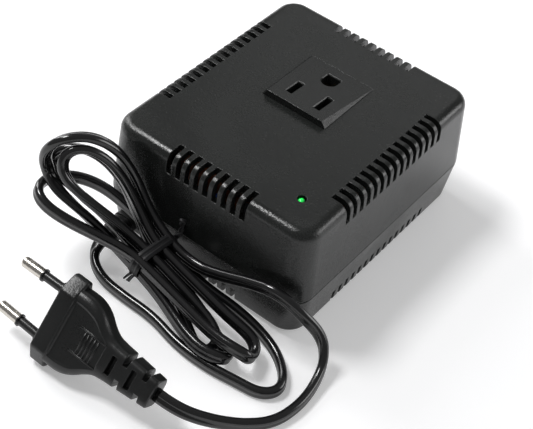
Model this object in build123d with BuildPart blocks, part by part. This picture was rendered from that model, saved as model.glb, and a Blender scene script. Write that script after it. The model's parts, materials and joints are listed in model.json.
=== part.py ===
from build123d import *
from math import cos, hypot, pi, radians, sin, sqrt, tan
import os

# A travel voltage converter: a vented plastic case round a ring autotransformer, with one
# outlet in a raised wedge on its cover. Its flat lead leaves the front face, lies tied in a
# hank against the case and ends in a two-pin plug. Millimetres, X to the right, Y to the back,
# Z up, origin on the floor under the middle of the case.
os.makedirs("parts", exist_ok=True)

# Case
case_w = 84.7  # width at the top, before its edge is rounded
case_d = 102.6
case_h = 49.6
seam_z = 18.8
seam_flare = 1.9  # how far the seam stands out from the top's edge
base_flare = 0.15  # the same at the tray's bottom
foot_h = 1.0
corner_r = 8.0
cover_edge_r = 4.0
tray_edge_r = 2.0
wall = 2.4
top_plate_t = 2.6
seam_groove = 0.5
lip_t = 1.2
lip_h = 2.0
lip_root = 3.0  # how far the lip is rooted down the tray's wall
lip_bite = 0.5
lip_gap = 0.3
cut_over = 3.0  # how far a cut runs past the face that it opens
fit_gap = 0.1  # between pieces pressed or moulded together
seam_w = case_w + 2 * seam_flare
seam_d = case_d + 2 * seam_flare
base_w = case_w + 2 * base_flare
base_d = case_d + 2 * base_flare
floor_z = foot_h + wall
plate_z = case_h - top_plate_t
wall_lean = (seam_flare - base_flare) / (seam_z - foot_h)

# Vents: rows of slots round the top edges and along the bottom edge
vent_pitch = 4.02
vents_long = 15
vents_short = 9
cover_vent_w = 2.3
cover_vent_reach = 6.85  # in from the top's edge
cover_vent_drop = 8.0  # down the wall
tray_vent_w = 1.9
tray_vent_rise = 6.2
tray_vent_depth = 3.5

# Feet, screw posts and screws
foot_r = 5.0
foot_sink = 0.8
foot_x = 27.0
foot_y = 42.0
post_r = 3.6
post_x = 36.2
post_y = 38.5
screw_r = 1.25
screw_gap = 0.3
screw_head_r = 2.3
screw_head_h = 2.0
screw_sink = 5.0  # depth of the counterbore under the tray
case_screw_grip = 12.0  # length of thread in the cover's post
carrier_screw_grip = 4.0

# Outlet wedge
wedge_hx = 13.8
wedge_top_hx = 12.1
wedge_y0 = -3.5
wedge_y1 = 26.5
wedge_rise = 2.7
wedge_back_rise = 0.15
aperture_gap = 0.15
flange_w = 2.5
flange_t = 1.6
blade_x = 6.35
blade_y = 5.45
line_slot_l = 7.6
neutral_slot_l = 8.6
slot_w = 2.4
slot_chamfer = 0.45
ground_y = 18.2
ground_r = 2.95
ground_flat = 3.4  # from the hole's centre to its flat side
wedge_d = wedge_y1 - wedge_y0
wedge_mid_y = (wedge_y0 + wedge_y1) / 2

# Carrier and sprung contacts under the outlet
carrier_inset = 0.6
carrier_hx = 12.5
carrier_h = 12.0
carrier_floor_t = 1.0
pocket_gap = 0.6
carrier_boss_r = 2.8
ear_w = 8.0
ear_t = 3.0
ear_drop = 4.0
contact_t = 0.6
contact_h = 9.6
contact_l = 6.6
mouth_h = 1.6
mouth_out = 0.4
blade_t = 1.5
ground_pin_r = 2.4
tail_w = 2.0
tail_drop = 2.6
carrier_top = plate_z - flange_t
carrier_z = carrier_top - carrier_h
contact_z = carrier_z + carrier_floor_t
ear_top = carrier_top - ear_drop
carrier_screw_x = wedge_hx + flange_w + carrier_boss_r + screw_gap

# Lamp
led_x = 28.8
led_y = -36.5
led_r = 1.5
led_h = 5.4
led_sink = 0.3
led_gap = 0.2
led_flange_r = 1.9
led_flange_h = 0.9
board_w = 12.0
board_d = 10.0
board_t = 1.6
board_shift = 2.8  # the lamp stands off the board's middle, clear of the screw post
pillar_r = 1.6
pillar_inset = 2.2
stake_r = 0.8
resistor_r = 1.2
resistor_l = 6.3
resistor_wire_r = 0.35
resistor_span = 8.6
resistor_drop = 2.2
lamp_lead_r = 0.6
lamp_lead_gap = 2.4
board_x = led_x - board_shift
board_top = case_h - led_sink - led_h
board_z = board_top - board_t

# Ring transformer and what clamps it
# shares of the case's depth, because the largest ring that its depth allows is fitted
ring_back_share = 0.078
core_hole_share = 0.1657
core_share = 0.3119
ring_y = -ring_back_share * case_d
core_r0 = core_hole_share * case_d
core_r1 = core_share * case_d
core_h = 20.0
core_gap = 0.3
winding_t = 4.2  # build of wire inside and outside the core
winding_cap = 1.0  # and over its flat faces
winding_edge_r = 3.0
tape_t = 0.6
tape_inset = 3.0
pad_low_t = 1.6
pad_over = 2.0
pad_high_t = 1.4
pad_bore_r = 13.4
clamp_r = 24.0
clamp_t = 1.2
clamp_dish = 5.0
dish_rim_r = 11.5
dish_floor_r = 8.5
bolt_r = 3.0
bolt_gap = 0.2
bolt_head_r = 5.0
bolt_head_h = 4.0
bolt_well_gap = 1.2
bolt_spare = 1.2
boss_r = 9.0
boss_h = 5.6
boss_cap_t = 3.4
washer_r = 6.2
washer_t = 1.2
nut_af = 10.0
nut_h = 5.0
pad_low_r = core_r1 + pad_over
winding_z = floor_z + pad_low_t
core_z = winding_z + winding_cap
winding_top = core_z + core_h + core_gap + winding_cap
winding_r0 = core_r0 - core_gap - winding_t
winding_r1 = core_r1 + core_gap + winding_t
clamp_z = winding_top + pad_high_t
dish_z = clamp_z - clamp_dish
washer_z = dish_z + clamp_t
nut_z = washer_z + washer_t
bolt_seat_z = floor_z + boss_h - boss_cap_t

# Thermal cutout, splices and leads
cutout_l = 14.0
cutout_w = 6.0
cutout_h = 3.4
cutout_inset = 1.6
cutout_turn = 22.0  # degrees round the ring from its front, towards +X
strap_w = 4.0
strap_t = 0.4
strap_foot = 2.0
leg_r = 0.5
leg_l = 2.7
cutout_ring_r = core_r1 - cutout_inset
splice_r = 2.6
splice_l = 12.0
splice_x = -24.0
splice_inset = 4.9  # from the case's front at its top edge
splice_y = splice_inset - case_d / 2
splice_z = 7.0
splice_pitch = 7.0
lead_r = 1.0
lead_spread = 1.2
lead_bow = 2.8  # from the splices back to where a lead turns
lead_sag = 0.5  # from the splices to a lead that climbs the front wall

# Bushing, where the lead leaves the case
bushing_x = -33.5
bushing_z = 6.4
bushing_hw = 4.75
bushing_hh = 3.5
bushing_tip_hw = 3.6
bushing_tip_hh = 2.6
bushing_end_y = -62.5
bushing_rings = 5
ring_share = 0.62  # how much of a ring's pitch is ring
bushing_groove = 0.7
bushing_collar = 0.4
bushing_collar_t = 1.3
seat_t = 1.8  # thickness of the seat inside the tray's front wall
seat_rim = 1.1
seat_y = -(base_d / 2 - wall - seat_t)

# Lead: a round tube stands for the flat two-core lead
cord_d = 3.8
bend_share = 0.45  # of the shorter run beside a bend, taken by its arc

# Plug: X of its frame runs from the pins to the cord, Z out of the grip panel
plug_at = (-16.19, -107.1, 15.39)
plug_yaw = 0.95
plug_pitch = 5.0
plug_roll = 53.0
plug_l = 44.85
plug_face_t = 6.5
plug_face_hw = 16.8
plug_face_flat_hw = 11.0
plug_face_ht = 5.75
plug_edge_t = 2.4
body_ht = 5.45
body_hw = 14.3
body_edge_r = 1.4
plug_edge_r = 0.8
neck_fall = 0.3  # slope of the shoulder's outline where it meets the neck
# shares of the way from the face to the neck, and of the way from the neck's width to the body's
shoulder_shares = ((0.4, 1.0), (0.6, 0.75), (0.76, 0.43), (1.0, 0.0))
# shares of the way from the face to the neck, and of the body's half width
panel_shares = ((0.03, 0.735), (0.25, 0.75), (0.52, 0.665), (0.76, 0.46), (0.89, 0.36))
neck_x = 26.4
neck_hw = 7.2
neck_ht = 5.0
tip_hw = 5.4
tip_ht = 4.0
relief_cuts = 5
relief_cut_share = 0.42
relief_rim_share = 0.35
relief_rail = 1.5
relief_core = 2.6
panel_sink = 0.6
grip_ribs = 5
grip_rib_t = 0.7
grip_rib_h = 0.35
grip_hw = 4.5
grip_pitch = 1.4
ridge_x = 12.9
ridge_l = 10.5
pin_r = 2.0
pin_l = 19.0
pin_bare = 9.0
pin_tip_r = 1.2
pin_root_span = 18.6
pin_tip_span = 17.6
pin_neck_r = 1.2
pin_bury = 7.0
sleeve_r = 1.7
sleeve_collar_r = 2.3
sleeve_collar_l = 1.6
sleeve_lip_l = 0.6
bridge_hw = 13.0
bridge_ht = 3.4
bridge_t = 5.0


# Hank: the lead passes the tied waist eight times, in slots two deep and four wide, and turns
# back through a loop on the left or on the right between one pass and the next. Each loop is a
# teardrop that leaves the waist in one slot and comes back in another, while it leans, lifts,
# sways and bulges as a free loop does. Angles are in degrees.
slot_pitch_w = 4.8
slot_pitch_n = 5.0
waist_at = (-9.8, -64.8, 15.1)
waist_lean = -2.1
waist_bearing = -4.6
waist_slope = 13.0
waist_slots = (
    (1.5, 0.5),
    (-1.5, -0.5),
    (0.5, -0.5),
    (-0.5, -0.5),
    (-0.5, 0.5),
    (0.5, 0.5),
    (-1.5, 0.5),
    (1.5, -0.5),
)
# side, reach, belly, lean at the tip, lift, sway, shift, bulge, roundness share
hank_loops = (
    (-1, 38.7, 21.8, 95.8, 25.5, 6.0, -3.7, 21.0, 0.79),
    (1, 42.9, 7.7, -37.7, -10.5, 4.5, -13.1, 3.3, 0.88),
    (-1, 43.1, 15.2, 64.2, 12.0, 10.8, -6.6, 20.8, 1.22),
    (1, 37.3, 10.8, 36.2, 1.0, -12.6, 5.2, -6.3, 0.68),
    (-1, 33.0, 15.9, 51.7, 21.1, 0.2, -3.6, 11.3, 1.08),
    (1, 51.3, 4.1, -32.5, 7.7, -11.5, 12.7, -1.6, 0.32),
    (-1, 46.9, 23.0, -13.0, -9.6, -9.0, -5.5, 13.0, 1.22),
)
station_shares = (0.12, 0.3, 0.5, 0.7, 0.88)  # ends of the arcs in each loop
tie_w = 4.4
tie_t = 0.9
tie_gap = 0.4
tie_nick = 0.35  # the groove between the tie's two wraps
tie_tail_l = 9.0
tie_tail_w = 2.6
tie_tail_t = 1.3

# Free stretches of the lead, from the bushing to the hank and from the hank to the plug
box_route = (
    (-33.5, -67.4, 6.4),
    (-31.2, -72.7, 3.3),
    (-23.2, -76.4, 2.1),
    (-12.0, -77.3, 2.1),
    (1.5, -77.2, 2.1),
    (15.6, -80.7, 2.1),
    (29.0, -81.0, 2.1),
    (40.5, -79.2, 2.1),
    (49.4, -78.0, 2.1),
    (53.6, -72.6, 2.1),
    (50.6, -66.2, 2.1),
    (42.5, -60.2, 2.3),
    (32.0, -57.4, 3.4),
    (21.5, -57.2, 5.6),
    (10.5, -58.6, 7.8),
)
plug_route = (
    (6.4, -58.2, 15.2),
    (16.0, -57.3, 17.8),
    (26.0, -56.8, 22.2),
    (37.0, -56.6, 25.8),
    (46.6, -54.9, 21.0),
    (54.3, -51.6, 12.5),
    (58.6, -54.6, 5.6),
    (61.0, -63.0, 2.4),
    (62.0, -73.0, 2.1),
    (60.0, -83.5, 2.1),
    (53.5, -92.0, 3.2),
    (45.2, -100.5, 6.8),
)


def seam_ring(outer, inner):
    """Ring along the seam, between two distances in from the outside of the case."""
    RectangleRounded(seam_w - 2 * outer, seam_d - 2 * outer, corner_r - outer)
    RectangleRounded(seam_w - 2 * inner, seam_d - 2 * inner, corner_r - inner, mode=Mode.SUBTRACT)


def corners(x, y):
    """The four places at plus and minus x and y."""
    return GridLocations(2 * x, 2 * y, 2, 2)


def tube(points, radius):
    """Round tube through route points, each bend as large as the runs beside it allow."""
    with BuildLine() as route:
        FilletPolyline(*points, radius=bend_radii(points))
    path = route.wire()
    with BuildSketch(Plane(path @ 0, z_dir=path % 0)) as section:
        Circle(radius)
    sweep(section.sketch, path=path)
    return path.length


def bend_radii(points):
    """Radius of each bend: 0.45 of its shorter run, divided by the tangent of half its turn."""
    vectors = [Vector(p) for p in points]
    runs = [b - a for a, b in zip(vectors, vectors[1:])]
    return [
        bend_share * min(a.length, b.length) / tan(radians(a.get_angle(b)) / 2)
        for a, b in zip(runs, runs[1:])
    ]


def print_tube(name, part, length, bends):
    """Print a tube's bends, and its volume beside its section times its length."""
    section = pi * cord_d**2 / 4
    print(
        f"{name}: length {length:.1f}, bends {min(bends):.1f} to {max(bends):.1f},",
        f"volume {part.volume:.0f} of {section * length:.0f}",
    )



# Tray: its outer block is kept, because the bushing's seat is cut to the same outside
with BuildPart() as tray_block:
    with BuildSketch(Plane.XY.offset(foot_h)):
        RectangleRounded(base_w, base_d, corner_r)
    with BuildSketch(Plane.XY.offset(seam_z)):
        RectangleRounded(seam_w, seam_d, corner_r)
    loft(ruled=True)
    fillet(tray_block.faces().sort_by(Axis.Z)[0].edges(), tray_edge_r)

neck_hw_in = bushing_hw - bushing_groove
neck_hh_in = bushing_hh - bushing_groove
with BuildPart() as bushing_seat:
    with Locations((bushing_x, seat_y, floor_z)):
        Box(
            2 * (neck_hw_in + seat_rim),
            seat_t + wall,
            bushing_z + neck_hh_in + seat_rim - floor_z,
            align=(Align.CENTER, Align.MAX, Align.MIN),
        )
    add(tray_block.part, mode=Mode.INTERSECT)

with BuildPart() as bottom_tray:
    add(tray_block.part)
    with BuildSketch(Plane.XY.offset(floor_z)):
        RectangleRounded(base_w - 2 * wall, base_d - 2 * wall, corner_r - wall)
    with BuildSketch(Plane.XY.offset(seam_z)):
        RectangleRounded(seam_w - 2 * wall, seam_d - 2 * wall, corner_r - wall)
    loft(ruled=True, mode=Mode.SUBTRACT)
    # lip that centres the cover, rooted in the wall
    with BuildSketch(Plane.XY.offset(seam_z - lip_root)):
        seam_ring(wall - lip_bite, wall + lip_gap + lip_t)
    extrude(amount=lip_root)
    with BuildSketch(Plane.XY.offset(seam_z)):
        seam_ring(wall + lip_gap, wall + lip_gap + lip_t)
    extrude(amount=lip_h)
    with BuildSketch(Plane.XY.offset(seam_z)):
        seam_ring(-cut_over, seam_groove)
    extrude(amount=-seam_groove / 2, mode=Mode.SUBTRACT)
    # vents along the bottom edge
    tray_cut_l = tray_vent_depth + seam_flare + cut_over
    tray_cut_x = base_w - 2 * tray_vent_depth + tray_cut_l
    tray_cut_y = base_d - 2 * tray_vent_depth + tray_cut_l
    tray_cut_h = tray_vent_rise + cut_over
    with Locations((0, 0, foot_h + tray_vent_rise)):
        with GridLocations(tray_cut_x, vent_pitch, 2, vents_long):
            Box(
                tray_cut_l,
                tray_vent_w,
                tray_cut_h,
                align=(Align.CENTER, Align.CENTER, Align.MAX),
                mode=Mode.SUBTRACT,
            )
        with GridLocations(vent_pitch, tray_cut_y, vents_short, 2):
            Box(
                tray_vent_w,
                tray_cut_l,
                tray_cut_h,
                align=(Align.CENTER, Align.CENTER, Align.MAX),
                mode=Mode.SUBTRACT,
            )
    # screw posts, bolt boss and bushing seat
    with BuildSketch(Plane.XY.offset(floor_z)):
        with corners(post_x, post_y):
            Circle(post_r)
    extrude(amount=seam_z - floor_z)
    with BuildSketch(Plane.XY.offset(floor_z)):
        with Locations((0, ring_y)):
            Circle(boss_r)
    extrude(amount=boss_h)
    add(bushing_seat.part)
    # bores from below
    with BuildSketch(Plane.XY.offset(foot_h)):
        with corners(post_x, post_y):
            Circle(screw_head_r + screw_gap)
    extrude(amount=screw_sink, mode=Mode.SUBTRACT)
    with BuildSketch(Plane.XY.offset(foot_h)):
        with Locations((0, ring_y)):
            Circle(bolt_head_r + bolt_well_gap)
    extrude(amount=bolt_seat_z - foot_h, mode=Mode.SUBTRACT)
    with BuildSketch(Plane.XY.offset(foot_h)):
        with corners(post_x, post_y):
            Circle(screw_r + screw_gap)
        with Locations((0, ring_y)):
            Circle(bolt_r + bolt_gap)
    extrude(amount=seam_z, mode=Mode.SUBTRACT)
    with BuildSketch(Plane.XY.offset(foot_h)):
        with corners(foot_x, foot_y):
            Circle(foot_r + fit_gap)
    extrude(amount=foot_sink, mode=Mode.SUBTRACT)
    # hole for the bushing's neck
    with BuildSketch(Plane((bushing_x, seat_y, bushing_z), x_dir=(1, 0, 0), z_dir=(0, -1, 0))):
        RectangleRounded(
            2 * (neck_hw_in + fit_gap), 2 * (neck_hh_in + fit_gap), neck_hh_in
        )
    extrude(amount=seat_t + wall + seam_flare + cut_over, mode=Mode.SUBTRACT)
bottom_tray.part.label = "bottom_tray"
export_step(bottom_tray.part, "parts/bottom_tray.step")

with BuildPart() as top_cover:
    with BuildSketch(Plane.XY.offset(seam_z)):
        RectangleRounded(seam_w, seam_d, corner_r)
    with BuildSketch(Plane.XY.offset(case_h)):
        RectangleRounded(case_w, case_d, corner_r)
    loft(ruled=True)
    fillet(top_cover.faces().sort_by(Axis.Z)[-1].edges(), cover_edge_r)
    with BuildSketch(Plane.XY.offset(seam_z)):
        RectangleRounded(seam_w - 2 * wall, seam_d - 2 * wall, corner_r - wall)
    with BuildSketch(Plane.XY.offset(plate_z)):
        RectangleRounded(case_w - 2 * wall, case_d - 2 * wall, corner_r - wall)
    loft(ruled=True, mode=Mode.SUBTRACT)
    with BuildSketch(Plane.XY.offset(seam_z)):
        seam_ring(-cut_over, seam_groove)
    extrude(amount=seam_groove / 2, mode=Mode.SUBTRACT)
    # vents over the top edges
    cover_cut_l = cover_vent_reach + seam_flare + cut_over
    cover_cut_x = case_w - 2 * cover_vent_reach + cover_cut_l
    cover_cut_y = case_d - 2 * cover_vent_reach + cover_cut_l
    cover_cut_h = cover_vent_drop + cut_over
    with Locations((0, 0, case_h - cover_vent_drop)):
        with GridLocations(cover_cut_x, vent_pitch, 2, vents_long):
            Box(
                cover_cut_l,
                cover_vent_w,
                cover_cut_h,
                align=(Align.CENTER, Align.CENTER, Align.MIN),
                mode=Mode.SUBTRACT,
            )
        with GridLocations(vent_pitch, cover_cut_y, vents_short, 2):
            Box(
                cover_vent_w,
                cover_cut_l,
                cover_cut_h,
                align=(Align.CENTER, Align.CENTER, Align.MIN),
                mode=Mode.SUBTRACT,
            )
    # outlet's aperture and the lamp's hole
    with BuildSketch(Plane.XY.offset(plate_z)):
        with Locations((0, wedge_mid_y)):
            Rectangle(2 * (wedge_hx + aperture_gap), wedge_d + 2 * aperture_gap)
        with Locations((led_x, led_y)):
            Circle(led_r + led_gap)
    extrude(amount=top_plate_t, mode=Mode.SUBTRACT)
    # posts for the case screws, bosses for the carrier, stakes for the lamp's board
    with BuildSketch(Plane.XY.offset(seam_z)):
        with corners(post_x, post_y):
            Circle(post_r)
    extrude(amount=plate_z - seam_z)
    with BuildSketch(Plane.XY.offset(ear_top)):
        with Locations((-carrier_screw_x, wedge_mid_y), (carrier_screw_x, wedge_mid_y)):
            Circle(carrier_boss_r)
    extrude(amount=plate_z - ear_top)
    pillar_x = board_x - board_w / 2 + pillar_inset
    pillar_dy = board_d / 2 - pillar_inset
    with BuildSketch(Plane.XY.offset(board_top)):
        with Locations((pillar_x, led_y - pillar_dy), (pillar_x, led_y + pillar_dy)):
            Circle(pillar_r)
    extrude(amount=plate_z - board_top)
    with BuildSketch(Plane.XY.offset(board_z)):
        with Locations((pillar_x, led_y - pillar_dy), (pillar_x, led_y + pillar_dy)):
            Circle(stake_r)
    extrude(amount=board_t)
    with BuildSketch(Plane.XY.offset(seam_z)):
        with corners(post_x, post_y):
            Circle(screw_r + fit_gap)
    extrude(amount=case_screw_grip + screw_gap, mode=Mode.SUBTRACT)
    with BuildSketch(Plane.XY.offset(ear_top)):
        with Locations((-carrier_screw_x, wedge_mid_y), (carrier_screw_x, wedge_mid_y)):
            Circle(screw_r + fit_gap)
    extrude(amount=carrier_screw_grip + screw_gap, mode=Mode.SUBTRACT)
top_cover.part.label = "top_cover"
export_step(top_cover.part, "parts/top_cover.step")


def wedge_section(y, top_hx, rise):
    """Section of the wedge above the cover, at one place along it."""
    with BuildSketch(Plane.XZ.offset(-y)) as section:
        Polygon(
            (-wedge_hx, case_h),
            (wedge_hx, case_h),
            (top_hx, case_h + rise),
            (-top_hx, case_h + rise),
            align=None,
        )
    return section.sketch


wedge_side_lean = (wedge_hx - wedge_top_hx) / wedge_rise
wedge_front = wedge_section(wedge_y0, wedge_top_hx, wedge_rise)
wedge_back = wedge_section(
    wedge_y1, wedge_hx - wedge_side_lean * wedge_back_rise, wedge_back_rise
)
with BuildPart() as outlet_insert:
    loft([wedge_front, wedge_back], ruled=True)
    with BuildSketch(Plane.XY.offset(plate_z)):
        with Locations((0, wedge_mid_y)):
            Rectangle(2 * wedge_hx, wedge_d)
    extrude(amount=top_plate_t)
    with BuildSketch(Plane.XY.offset(carrier_top)):
        with Locations((0, wedge_mid_y)):
            Rectangle(2 * (wedge_hx + flange_w), wedge_d + 2 * flange_w)
    extrude(amount=flange_t)
    # blade slots and the ground hole, with eased mouths
    with BuildSketch(Plane.XY.offset(carrier_top)):
        with Locations((-blade_x, blade_y)):
            Rectangle(slot_w, line_slot_l)
        with Locations((blade_x, blade_y)):
            Rectangle(slot_w, neutral_slot_l)
        with BuildLine():
            ThreePointArc(
                (-ground_r, ground_y), (0, ground_y - ground_r), (ground_r, ground_y)
            )
            Polyline(
                (ground_r, ground_y),
                (ground_r, ground_y + ground_flat),
                (-ground_r, ground_y + ground_flat),
                (-ground_r, ground_y),
            )
        make_face()
    extrude(amount=case_h + wedge_rise - carrier_top + cut_over, mode=Mode.SUBTRACT)
    face = outlet_insert.faces().filter_by(lambda f: f.normal_at().Z > sqrt(1 / 2))
    top_face = face.sort_by(Axis.Z)[-1]
    chamfer(top_face.inner_wires().edges(), slot_chamfer)
outlet_insert.part.label = "outlet_insert"
export_step(outlet_insert.part, "parts/outlet_insert.step")

# Pockets are cut for the contacts at their mouths, and their tails pass through the floor
blade_pocket_hw = blade_t / 2 + contact_t + pocket_gap
ground_pocket_hw = ground_pin_r + contact_t + pocket_gap
with BuildPart() as contact_carrier:
    with BuildSketch(Plane.XY.offset(carrier_z)):
        with Locations((0, wedge_mid_y)):
            Rectangle(2 * carrier_hx, wedge_d - 2 * carrier_inset)
    extrude(amount=carrier_h)
    with BuildSketch(Plane.XY.offset(ear_top)):
        with Locations((0, wedge_mid_y)):
            Rectangle(2 * (carrier_screw_x + carrier_boss_r), ear_w)
    extrude(amount=-ear_t)
    with BuildSketch(Plane.XY.offset(contact_z)):
        with Locations((-blade_x, blade_y), (blade_x, blade_y)):
            Rectangle(2 * blade_pocket_hw, contact_l + 2 * pocket_gap)
        with Locations((0, ground_y)):
            Rectangle(2 * ground_pocket_hw, contact_l + 2 * pocket_gap)
    extrude(amount=carrier_h, mode=Mode.SUBTRACT)
    with BuildSketch(Plane.XY.offset(carrier_z)):
        with Locations((-blade_x, blade_y), (blade_x, blade_y)):
            Rectangle(contact_t + 2 * fit_gap, tail_w + 2 * fit_gap)
    extrude(amount=carrier_floor_t, mode=Mode.SUBTRACT)
    with BuildSketch(Plane.XY.offset(ear_top)):
        with Locations((-carrier_screw_x, wedge_mid_y), (carrier_screw_x, wedge_mid_y)):
            Circle(screw_r + screw_gap)
    extrude(amount=-ear_t, mode=Mode.SUBTRACT)
contact_carrier.part.label = "contact_carrier"
export_step(contact_carrier.part, "parts/contact_carrier.step")


def spring_contact(half_gap, x, y):
    """Two upright leaves joined by a floor, with their mouths bent open."""
    outer = half_gap + contact_t
    with BuildSketch(Plane((x, y + contact_l / 2, contact_z), x_dir=(1, 0, 0), z_dir=(0, -1, 0))) as leaf:
        Polygon(
            (0, 0),
            (outer, 0),
            (outer, contact_h - mouth_h),
            (outer + mouth_out, contact_h),
            (half_gap + mouth_out, contact_h),
            (half_gap, contact_h - mouth_h),
            (half_gap, contact_t),
            (0, contact_t),
            align=None,
        )
        mirror(about=Plane.YZ)
    extrude(leaf.sketch, amount=contact_l)


def contact_tail(x, y):
    """Solder tail that passes down through the carrier's floor."""
    with BuildSketch(Plane.XY.offset(contact_z)) as tail:
        with Locations((x, y)):
            Rectangle(contact_t, tail_w)
    extrude(tail.sketch, amount=-(carrier_floor_t + tail_drop))


with BuildPart() as line_contact:
    spring_contact(blade_t / 2, -blade_x, blade_y)
    contact_tail(-blade_x, blade_y)
line_contact.part.label = "line_contact"
export_step(line_contact.part, "parts/line_contact.step")

with BuildPart() as neutral_contact:
    spring_contact(blade_t / 2, blade_x, blade_y)
    contact_tail(blade_x, blade_y)
neutral_contact.part.label = "neutral_contact"
export_step(neutral_contact.part, "parts/neutral_contact.step")

with BuildPart() as ground_contact:
    spring_contact(ground_pin_r, 0, ground_y)
ground_contact.part.label = "ground_contact"
export_step(ground_contact.part, "parts/ground_contact.step")


def pan_screw(seat_z, length):
    """Self-tapping screw whose head lies under its seat and whose shank points up."""
    with Locations((0, 0, seat_z)):
        Cylinder(screw_head_r, screw_head_h, align=(Align.CENTER, Align.CENTER, Align.MAX))
        Cylinder(screw_r, length - screw_r, align=(Align.CENTER, Align.CENTER, Align.MIN))
        with Locations((0, 0, length - screw_r)):
            Cone(
                screw_r,
                screw_r / 2,
                screw_r,
                align=(Align.CENTER, Align.CENTER, Align.MIN),
            )


case_screw_seat = foot_h + screw_sink
with BuildPart() as case_screws:
    with corners(post_x, post_y):
        pan_screw(case_screw_seat, seam_z + case_screw_grip - case_screw_seat)
case_screws.part.label = "case_screws"
export_step(case_screws.part, "parts/case_screws.step")

with BuildPart() as carrier_screws:
    with Locations((-carrier_screw_x, wedge_mid_y), (carrier_screw_x, wedge_mid_y)):
        pan_screw(ear_top - ear_t, ear_t + carrier_screw_grip)
carrier_screws.part.label = "carrier_screws"
export_step(carrier_screws.part, "parts/carrier_screws.step")

with BuildPart() as feet:
    with BuildSketch():
        with corners(foot_x, foot_y):
            Circle(foot_r)
    extrude(amount=foot_h + foot_sink)
    chamfer(feet.faces().group_by(Axis.Z)[0].edges(), foot_h / 2)
feet.part.label = "feet"
export_step(feet.part, "parts/feet.step")

with BuildPart() as led_lens:
    with Locations((led_x, led_y, board_top)):
        Cylinder(led_flange_r, led_flange_h, align=(Align.CENTER, Align.CENTER, Align.MIN))
        Cylinder(led_r, led_h - led_r, align=(Align.CENTER, Align.CENTER, Align.MIN))
        with Locations((0, 0, led_h - led_r)):
            Sphere(led_r)
led_lens.part.label = "led_lens"
export_step(led_lens.part, "parts/led_lens.step")

with BuildPart() as led_board:
    with BuildSketch(Plane.XY.offset(board_z)):
        with Locations((board_x, led_y)):
            Rectangle(board_w, board_d)
        with Locations((pillar_x, led_y - pillar_dy), (pillar_x, led_y + pillar_dy)):
            Circle(stake_r + fit_gap, mode=Mode.SUBTRACT)
    extrude(amount=board_t)
led_board.part.label = "led_board"
export_step(led_board.part, "parts/led_board.step")

resistor_z = board_z - resistor_drop
resistor_x = led_x
with BuildPart() as led_resistor:
    with BuildSketch(Plane((resistor_x, led_y - resistor_l / 2, resistor_z), z_dir=(0, 1, 0))):
        Circle(resistor_r)
    extrude(amount=resistor_l)
    fillet(led_resistor.edges().filter_by(GeomType.CIRCLE), resistor_r / 3)
    for side in (-1, 1):
        wire_y = led_y + side * resistor_span / 2
        tube(
            (
                (resistor_x, led_y + side * (resistor_l / 2 - resistor_wire_r), resistor_z),
                (resistor_x, wire_y, resistor_z),
                (resistor_x, wire_y, board_z),
            ),
            resistor_wire_r,
        )
led_resistor.part.label = "led_resistor"
export_step(led_resistor.part, "parts/led_resistor.step")

lamp_lead_x = pillar_x + pillar_r
with BuildPart() as lamp_leads:
    for lead_x in (lamp_lead_x - lamp_lead_gap / 2, lamp_lead_x + lamp_lead_gap / 2):
        drop = board_z - winding_top
        tube(
            (
                (lead_x, led_y + pillar_dy, board_z),
                (lead_x, led_y + pillar_dy, board_z - drop / 3),
                (lead_x - lamp_lead_gap / 2, led_y + board_d / 2, board_z - drop / 2),
                (lead_x - lamp_lead_gap / 2, led_y + board_d / 2, winding_top),
            ),
            lamp_lead_r,
        )
lamp_leads.part.label = "lamp_leads"
export_step(lamp_leads.part, "parts/lamp_leads.step")

# Ring transformer: sections in the plane through its axis, X outward and Y up
ring_plane = Plane((0, ring_y, 0), x_dir=(1, 0, 0), z_dir=(0, -1, 0))
ring_axis = Axis((0, ring_y, 0), (0, 0, 1))


def ring_section(r0, r1, z0, z1):
    """Rectangle between two radii and two heights."""
    with Locations(((r0 + r1) / 2, (z0 + z1) / 2)):
        return Rectangle(r1 - r0, z1 - z0)


with BuildPart() as core:
    with BuildSketch(ring_plane):
        ring_section(core_r0, core_r1, core_z, core_z + core_h)
    revolve(axis=ring_axis)
core.part.label = "core"
export_step(core.part, "parts/core.step")

with BuildPart() as winding:
    with BuildSketch(ring_plane) as winding_section:
        ring_section(winding_r0, winding_r1, winding_z, winding_top)
        fillet(winding_section.vertices(), winding_edge_r)
        with Locations(((core_r0 + core_r1) / 2, core_z + (core_h + core_gap) / 2)):
            Rectangle(
                core_r1 - core_r0 + 2 * core_gap, core_h + core_gap, mode=Mode.SUBTRACT
            )
    revolve(axis=ring_axis)
winding.part.label = "winding"
export_step(winding.part, "parts/winding.step")

with BuildPart() as winding_wrap:
    with BuildSketch(ring_plane):
        ring_section(
            winding_r1 + fit_gap,
            winding_r1 + fit_gap + tape_t,
            winding_z + tape_inset,
            winding_top - tape_inset,
        )
    revolve(axis=ring_axis)
winding_wrap.part.label = "winding_wrap"
export_step(winding_wrap.part, "parts/winding_wrap.step")

with BuildPart() as pad_lower:
    with BuildSketch(ring_plane):
        ring_section(pad_bore_r, pad_low_r, floor_z, winding_z)
    revolve(axis=ring_axis)
pad_lower.part.label = "pad_lower"
export_step(pad_lower.part, "parts/pad_lower.step")

with BuildPart() as pad_upper:
    with BuildSketch(ring_plane):
        ring_section(pad_bore_r, clamp_r, winding_top, clamp_z)
    revolve(axis=ring_axis)
pad_upper.part.label = "pad_upper"
export_step(pad_upper.part, "parts/pad_upper.step")

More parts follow.
